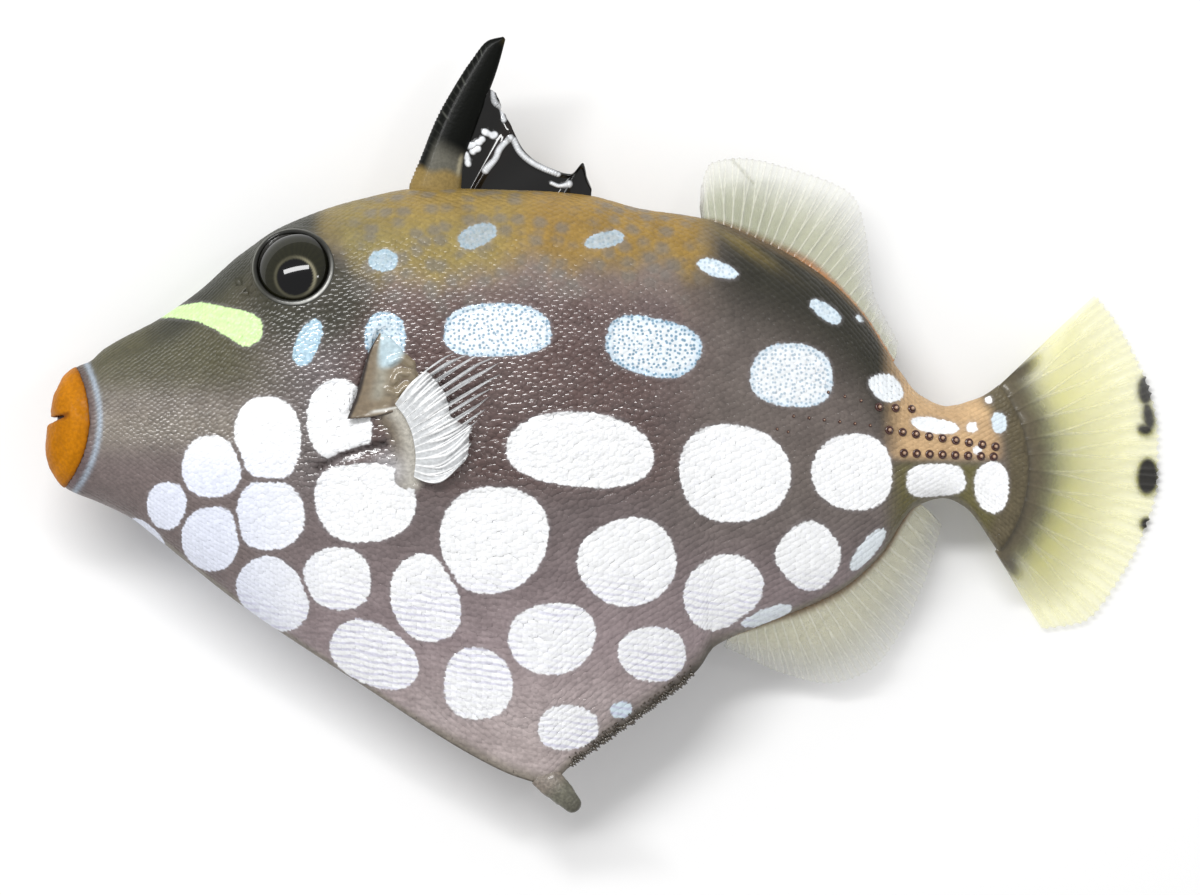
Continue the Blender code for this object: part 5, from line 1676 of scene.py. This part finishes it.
@dataclass(frozen=True)
class FirstDorsal:
    """The raised black spine with its barbs, and the folded black membrane behind it."""

    body: Body
    station: float = 40.0
    half_thickness: float = 1.5
    barbs: int = 44
    # Creases of the membrane, and below them patches of it, along which white highlights are painted.
    painted_highlight_creases: tuple[Pairs, ...] = (
        ((47.9, 29.4), (49.1, 30.8), (49.4, 31.6), (50.6, 32.9)),
        ((51.0, 32.7), (51.6, 31.5), (52.9, 30.3), (55.8, 28.9)),
        ((48.7, 38.4), (48.8, 37.1), (49.6, 36.0), (49.9, 34.9)),
        ((55.1, 28.0), (56.0, 27.7), (57.0, 27.9)),
    )
    patches: tuple[Pairs, ...] = (
        ((47.8, 33.6), (48.9, 33.2)), ((46.3, 32.0), (47.5, 32.7)), ((46.5, 31.5), (47.1, 31.8)),
        ((45.8, 31.1), (46.0, 30.2)),
    )
    stripes: int = 22

    def spine(self, material: Material) -> None:
        """The stout first spine."""
        piece, across, along = Piece.grid("first_spine", 72, 260)
        lead, trail = Path(SPINE_LEAD), Path(SPINE_TRAIL)
        share = np.clip(along * 1.03 - 0.03, 0, 1)
        angle = 2 * math.pi * across
        spread = np.cos(angle)
        front = np.stack((lead.station(share), lead.level(share)), -1)
        rear = np.stack((trail.station(share), trail.level(share)), -1)
        below = np.clip(0.03 - along * 1.03, 0, 1)[:, None] * np.array((0.0, -40.0))
        middle, reach = (front + rear) / 2 + below, (rear - front) / 2
        ahead = np.maximum(-spread, 0)
        uneven = 0.6 + 0.4 * np.sin(np.floor(share * self.barbs) * 12.99)
        tooth = 0.17 * uneven * (1 - share) ** 0.5 * ahead**8 * np.mod(share * self.barbs, 1)
        phase = np.sin(2 * math.pi * (self.stripes * share + 1.6 * spread) + 1.2 * np.sin(23 * share))
        window = band(-0.97, -0.85, -0.55, -0.3, spread) * band(0.15, 0.4, 0.8, 0.92, share)
        window *= 0.25 + 0.75 * np.maximum(np.sin(31 * share + 1), 0)
        rib = 0.04 * np.maximum(phase, 0) ** 2 * window
        groove = 0.03 * bump(spread - 0.1, 0.2) + 0.02 * bump(spread - 0.55, 0.15)
        half = self.half_thickness * (1 - share) ** 0.75 + 0.3
        flat = middle + reach * spread[:, None] - unit(reach) * tooth[:, None]
        out = half + (rib - groove) * (1 - share)
        height = self.body.middle(np.array(self.station)) + out * np.sin(angle)
        points = place(flat[:, 0], flat[:, 1], height)
        close_ends(points, along)
        piece.move(points)
        base = ease(0.30, 0.16, share + 0.05 * spread) * ease(-0.85, -0.3, spread)
        foot = ease(0.03, -0.03, share - 0.09 - 0.01 * np.sin(5 * spread) + 0.02 * spread)
        piece.store("tint", coated(
            linear(8, 10, 7),
            # Painted highlights: pale stripes on the ribs of the front face.
            (0.5 * np.maximum(phase, 0) ** 4 * window, (104, 106, 98)),
            (0.6 * ease(0.93, 1.0, share) * ease(-0.4, 0.6, spread), (70, 62, 32)),
            (0.8 * base, (112, 110, 100)),
            (0.8 * bump(spread - 0.84, 0.09) * ease(0.22, 0.16, share), (196, 188, 160)),
            (0.9 * foot, (146, 124, 74)),
        ))
        piece.weld()
        piece.dress(material, Slot.BLACK_SPINE, "dorsal_spine")

    def web(self, material: Material) -> None:
        """The two hind spines and the membrane that joins them to the first, with painted highlights along
        its creases.
        """
        piece, across, out = Piece.grid("spine_web", 280, 160)
        edge, trail, fan = Path(WEB_EDGE), Path(SPINE_TRAIL), Curve(WEB_FAN)
        station = mix(SPINE_TRAIL[0][0] + 0.2, 59.4, fan(across))
        root = self.body.back(station) - 0.5
        flat_station, flat_level = towards(station, root, edge, across, out)
        hold = ease(0.07, 0.0, across)
        flat_station = mix(flat_station, trail.station(0.66 * out) - 0.2, hold)
        flat_level = mix(flat_level, trail.level(0.66 * out), hold)
        spines = 0.42 * bump(across - 0.26, 0.045) + 0.42 * bump(across - 0.79, 0.03)
        folds = 0.064 * np.sin(across * 8 + 1.5 * out) * (1 - 0.5 * out)
        sag = 0.06 * np.sin(0.8 * flat_level - 0.5 * flat_station) - 0.08 * (flat_level - root)
        crease, patch = (
            np.min([Path(line).distance(flat_station, flat_level) for line in drawn], axis=0)
            for drawn in (self.painted_highlight_creases, self.patches)
        )
        patch += 0.1 * np.sin(6.1 * flat_station + 2.2 * flat_level) * np.sin(5.2 * flat_level)
        crease = np.minimum(crease, np.maximum(patch - 0.16, 0))
        height = self.body.middle(np.array(self.station)) + (folds + sag) * band(0.0, 0.2, 0.9, 1.0, across)
        piece.move(place(flat_station, flat_level, height + 0.16 * bump(crease, 0.16)))
        piece.store("tint", coated(
            linear(9, 8, 7),
            (0.6 * bump(across - 0.26, 0.06), (30, 20, 12)),
            # Painted highlights: white lines along the creases and patches of the wet membrane.
            (bump(crease, 0.075), (240, 243, 247)),
        ))
        rim = 0.5 * bump(out - 0.92, 0.07)
        piece.thicken(0.4 + 2.2 * spines * (1 - 0.5 * out) + rim)
        piece.dress(material, Slot.BLACK_SPINE, "dorsal_web")


@dataclass(frozen=True)
class StalkSpines:
    """The rows of dark rings with pale middles on the tail stalk; the pale is partly their tan colour and
    partly a painted glint on the top of each spine.
    """

    body: Body
    rows: tuple = (
        ((90.8, 3.6), (94.4, 3.4), 3, 1.0), ((91.9, 1.1), (103.6, -0.7), 9, 1.0),
        ((93.5, -1.4), (103.4, -1.8), 8, 1.0), ((85.2, 5.2), (88.8, 4.3), 3, 0.4),
        ((81.4, 2.6), (89.8, 1.6), 6, 0.4), ((79.6, 1.2), (80.8, 0.9), 2, 0.35),
    )

    def template(self) -> tuple[Piece, Array]:
        """One blunt spine in its ring, and how pale each vertex is, painted paler on its top as a glint."""
        bpy.ops.object.select_all(action="DESELECT")
        bpy.ops.mesh.primitive_torus_add(
            major_segments=18, minor_segments=8, major_radius=0.34 * MM, minor_radius=0.15 * MM
        )
        ring = bpy.context.object
        bpy.ops.mesh.primitive_uv_sphere_add(
            segments=12, ring_count=8, radius=0.24 * MM, location=(0, 0, 0.1 * MM)
        )
        bpy.ops.transform.resize(value=(1, 1, 1.5))
        bpy.ops.object.transform_apply(location=True, rotation=True, scale=True)
        ring.select_set(True)
        bpy.context.view_layer.objects.active = ring
        bpy.ops.object.join()
        piece = Piece("stalk_spine", ring)
        points = piece.points()
        pale = ease(0.3, 0.12, np.hypot(points[:, 0], points[:, 1])) * ease(0.1, 0.3, points[:, 2])
        return piece, pale

    def build(self, material: Material) -> None:
        """Sets the spines on both sides of the stalk."""
        origins, axes = [], []
        for first, last, count, size in self.rows:
            shares = np.linspace(0, 1, count)
            station, level = mix(first[0], last[0], shares), mix(first[1], last[1], shares)
            for way in (1, -1):
                up, normal = self.body.facing(station, level, way)
                side = unit(np.cross(up, normal))
                origins.append(self.body.flank(station, level, way))
                axes.append(size * np.stack((side, np.cross(normal, side), normal), axis=1))
        template, pale = self.template()
        spots = np.concatenate(origins)
        piece = joined_copies("stalk_spines", template, spots, np.concatenate(axes))
        # Tan on the top of each spine, partly its own colour and partly a painted glint.
        tint = coated(linear(66, 26, 18), (0.75 * pale, (206, 170, 140)))
        piece.store("tint", np.tile(tint, (len(spots), 1)))
        piece.dress(material, Slot.TAIL_SKIN)


@dataclass(frozen=True)
class BellyFlap:
    """The teeth along the rear edge of the belly flap, and the rough spine at its corner."""

    body: Body
    spine_base: tuple[float, float] = (55.15, -37.4)
    spine_tip: tuple[float, float] = (58.1, -40.3)
    spine_size: tuple[float, float] = (1.25, 0.8)
    teeth: int = 62

    def spine(self, material: Material) -> None:
        """The blunt rough spine."""
        piece, across, along = Piece.grid("pelvic", 40, 60)
        start = np.array(self.spine_base)
        way = np.array(self.spine_tip) - start
        start, way = start - 0.4 * way, 1.4 * way
        size = Curve(((0.0, 1.2), (0.2, 1.2), (0.5, 1.08), (0.75, 0.86), (0.93, 0.62), (1.0, 0.2)))(along)
        angle = 2 * math.pi * across
        side = np.array((-way[1], way[0])) / np.linalg.norm(way)
        flat = start + way * along[:, None] + side * (self.spine_size[0] * size * np.cos(angle))[:, None]
        thick = self.spine_size[1] * np.minimum(size, 1.1) * ease(-0.3, 0.55, along)
        height = self.body.middle(np.array(BELLY_CORNER)) + thick * np.sin(angle)
        points = place(flat[:, 0], flat[:, 1], height)
        close_ends(points, along)
        piece.move(points)
        piece.store("tint", coated(
            linear(128, 118, 108),
            (ease(0.2, 0.55, along), (104, 102, 88)),
            (ease(0.6, 1.0, along), (78, 76, 64)),
        ))
        piece.weld()
        piece.wrinkle(0.1, 1.2)
        piece.wrinkle(0.04, 0.3)
        piece.dress(material, Slot.PELVIC, "pelvic_spine")

    def rows(self, material: Material) -> None:
        """Three rows of small dark teeth on each side of the edge."""
        bpy.ops.object.select_all(action="DESELECT")
        bpy.ops.mesh.primitive_cone_add(vertices=7, radius1=0.26 * MM, radius2=0.04 * MM, depth=0.5 * MM)
        template = Piece("tooth")
        shape = template.points()
        shape[:, 2] += 0.15
        shape[:, 0] += 0.12 * np.maximum(shape[:, 2], 0) ** 2
        template.move(shape)
        dice = np.random.default_rng(3)
        origins, axes = [], []
        way = unit(np.array((0.75, -0.66, 0.0)))
        for row, (inset, lift) in enumerate(((0.18, 0.0), (0.45, 0.5), (0.8, 0.8))):
            for index in range(self.teeth):
                station = mix(57.4, 70.8, (index + 0.33 * row + dice.uniform(-0.3, 0.3)) / self.teeth)
                if row and dice.uniform() < 0.5:
                    continue
                level = float(self.body.belly(np.array(station))) + inset + dice.uniform(-0.1, 0.1)
                for side in ((1,) if row == 0 else (1, -1)):
                    point = self.body.flank(np.array(station - 0.55 * inset), np.array(level), side)
                    out = unit(way + np.array((0, 0, side * lift * 0.8)) + dice.uniform(-0.12, 0.12, 3))
                    across = unit(np.cross((0, 0, 1.0), out))
                    if row == 0:
                        point[2] = self.body.middle(np.array(station))
                    grow = dice.uniform(0.7, 1.3) * (1 - 0.25 * row)
                    origins.append(point)
                    axes.append(np.stack((across, np.cross(out, across), out)) * grow)
        piece = joined_copies("flap_teeth", template, np.array(origins), np.array(axes))
        tint = coated(linear(78, 70, 60), (ease(0.2, 0.6, shape[:, 2]), (48, 44, 38)))
        piece.store("tint", np.tile(tint, (len(origins), 1)))
        piece.dress(material, Slot.SKIN)


@dataclass(frozen=True)
class Studio:
    """A pale floor, soft light and a camera straight above."""

    centre: tuple[float, float] = (3.4, -5.2)
    height: float = 911.0
    in_focus: float = 11.0
    frame_width: float = 130.8
    sensor: float = 36.0
    sky: float = 0.575

    def lamp(self, name: str, spot: tuple[float, ...], size: tuple[float, float], power: float) -> None:
        """A rectangular light that faces the middle of the fish, its length across the picture."""
        data = bpy.data.lights.new(name, "AREA")
        data.shape = "RECTANGLE"
        data.size, data.size_y = size
        data.energy = power
        made = bpy.data.objects.new(name, data)
        bpy.context.scene.collection.objects.link(made)
        back = (Vector(spot) - Vector((0, 0, 0.01))).normalized()
        along = Vector((1, 0.08, 0))
        along = (along - back * along.dot(back)).normalized()
        turn = Matrix((along, back.cross(along), back)).transposed()
        made.matrix_world = Matrix.Translation(spot) @ turn.to_4x4()

    def build(self) -> None:
        """Sets the scene."""
        bpy.ops.object.select_all(action="DESELECT")
        bpy.ops.mesh.primitive_plane_add(size=4.0)
        floor = bpy.context.object
        floor.name = "floor"
        material = bpy.data.materials.new("floor")
        material.use_nodes = True
        shader = material.node_tree.nodes["Principled BSDF"]
        shader.inputs["Base Color"].default_value = (0.9, 0.9, 0.9, 1)
        shader.inputs["Roughness"].default_value = 0.7
        floor.data.materials.append(material)
        self.lamp("key", (-0.29, 0.46, 0.74), (0.72, 0.12), 6.6)
        self.lamp("right", (0.25, 0.12, 0.50), (0.06, 0.04), 0.12)
        scene = bpy.context.scene
        world = bpy.data.worlds.new("world")
        world.use_nodes = True
        sky = world.node_tree.nodes["Background"]
        sky.inputs["Color"].default_value = (1, 1, 1, 1)
        sky.inputs["Strength"].default_value = self.sky
        scene.world = world
        scene.view_settings.view_transform = "Standard"
        data = bpy.data.cameras.new("camera")
        data.sensor_width = self.sensor
        data.lens = self.sensor * (self.height - self.in_focus) / self.frame_width
        data.clip_start, data.clip_end = 0.01, 10
        camera = bpy.data.objects.new("camera", data)
        scene.collection.objects.link(camera)
        camera.location = (self.centre[0] * MM, self.centre[1] * MM, self.height * MM)
        scene.camera = camera


def finishes() -> dict[str, Material]:
    """Makes every material."""
    markings = markings_group()
    skin = Finish("skin", 0.5, 0.04, 0.06, 1.7, 0.3, marked=True, grain=0.45, grain_depth=0.16)
    made = (
        skin,
        replace(skin, name="scales", scaled=True, grain_tint=0.06),
        Finish("lips", 0.5, 0.05, 0.2, 1.5, 0.1, grain=0.35, grain_depth=0.02),
        Finish("bare_skin", 0.3, 0.9, 0.06, grain=0.5, grain_depth=0.05),
        Finish("eye", 0.12, 0.7, 0.02, 1.5, 0.03, grain_depth=0.0, grain_tint=0.1),
        Finish("eye_rim", 0.4, 0.5, 0.1, 1.5, 0.25, grain=0.4, grain_depth=0.03),
        Finish("black_spine", 0.4, 0.05, 0.1, 1.5, 0.08, grain=0.3, grain_depth=0.03),
        Finish("spine_membrane", 0.3, 0.9, 0.04, 1.5, 0.05, grain_depth=0.0),
        Finish("fin", 0.3, 0.5, 0.12, grain=0.4, grain_depth=0.02, sheer=True),
        Finish("rough_skin", 0.5, 0.4, 0.15, grain=0.3, grain_depth=0.12, grain_tint=0.3),
    )
    return {finish.name: finish.build(markings) for finish in made}


def main() -> None:
    """Builds the fish and its studio."""
    logging.basicConfig(level=logging.INFO, format="%(name)s %(message)s")
    body = Body()
    markings = Markings(body)
    looks = finishes()
    Skin(body, markings).build(looks["skin"])
    Scales(body, markings).build(looks["scales"])
    Lips(body).build(looks["lips"])
    for side in Side:
        Eye(body, side).build(looks["eye"])
        Eye(body, side).rim(looks["eye_rim"])
    GillFlap(body).build(looks["bare_skin"], FLAP_SPOT)
    Fins(body).build(looks["fin"])
    FirstDorsal(body).spine(looks["black_spine"])
    FirstDorsal(body).web(looks["spine_membrane"])
    StalkSpines(body).build(looks["bare_skin"])
    BellyFlap(body).spine(looks["rough_skin"])
    BellyFlap(body).rows(looks["bare_skin"])
    Studio().build()


if __name__ == "__main__":
    main()
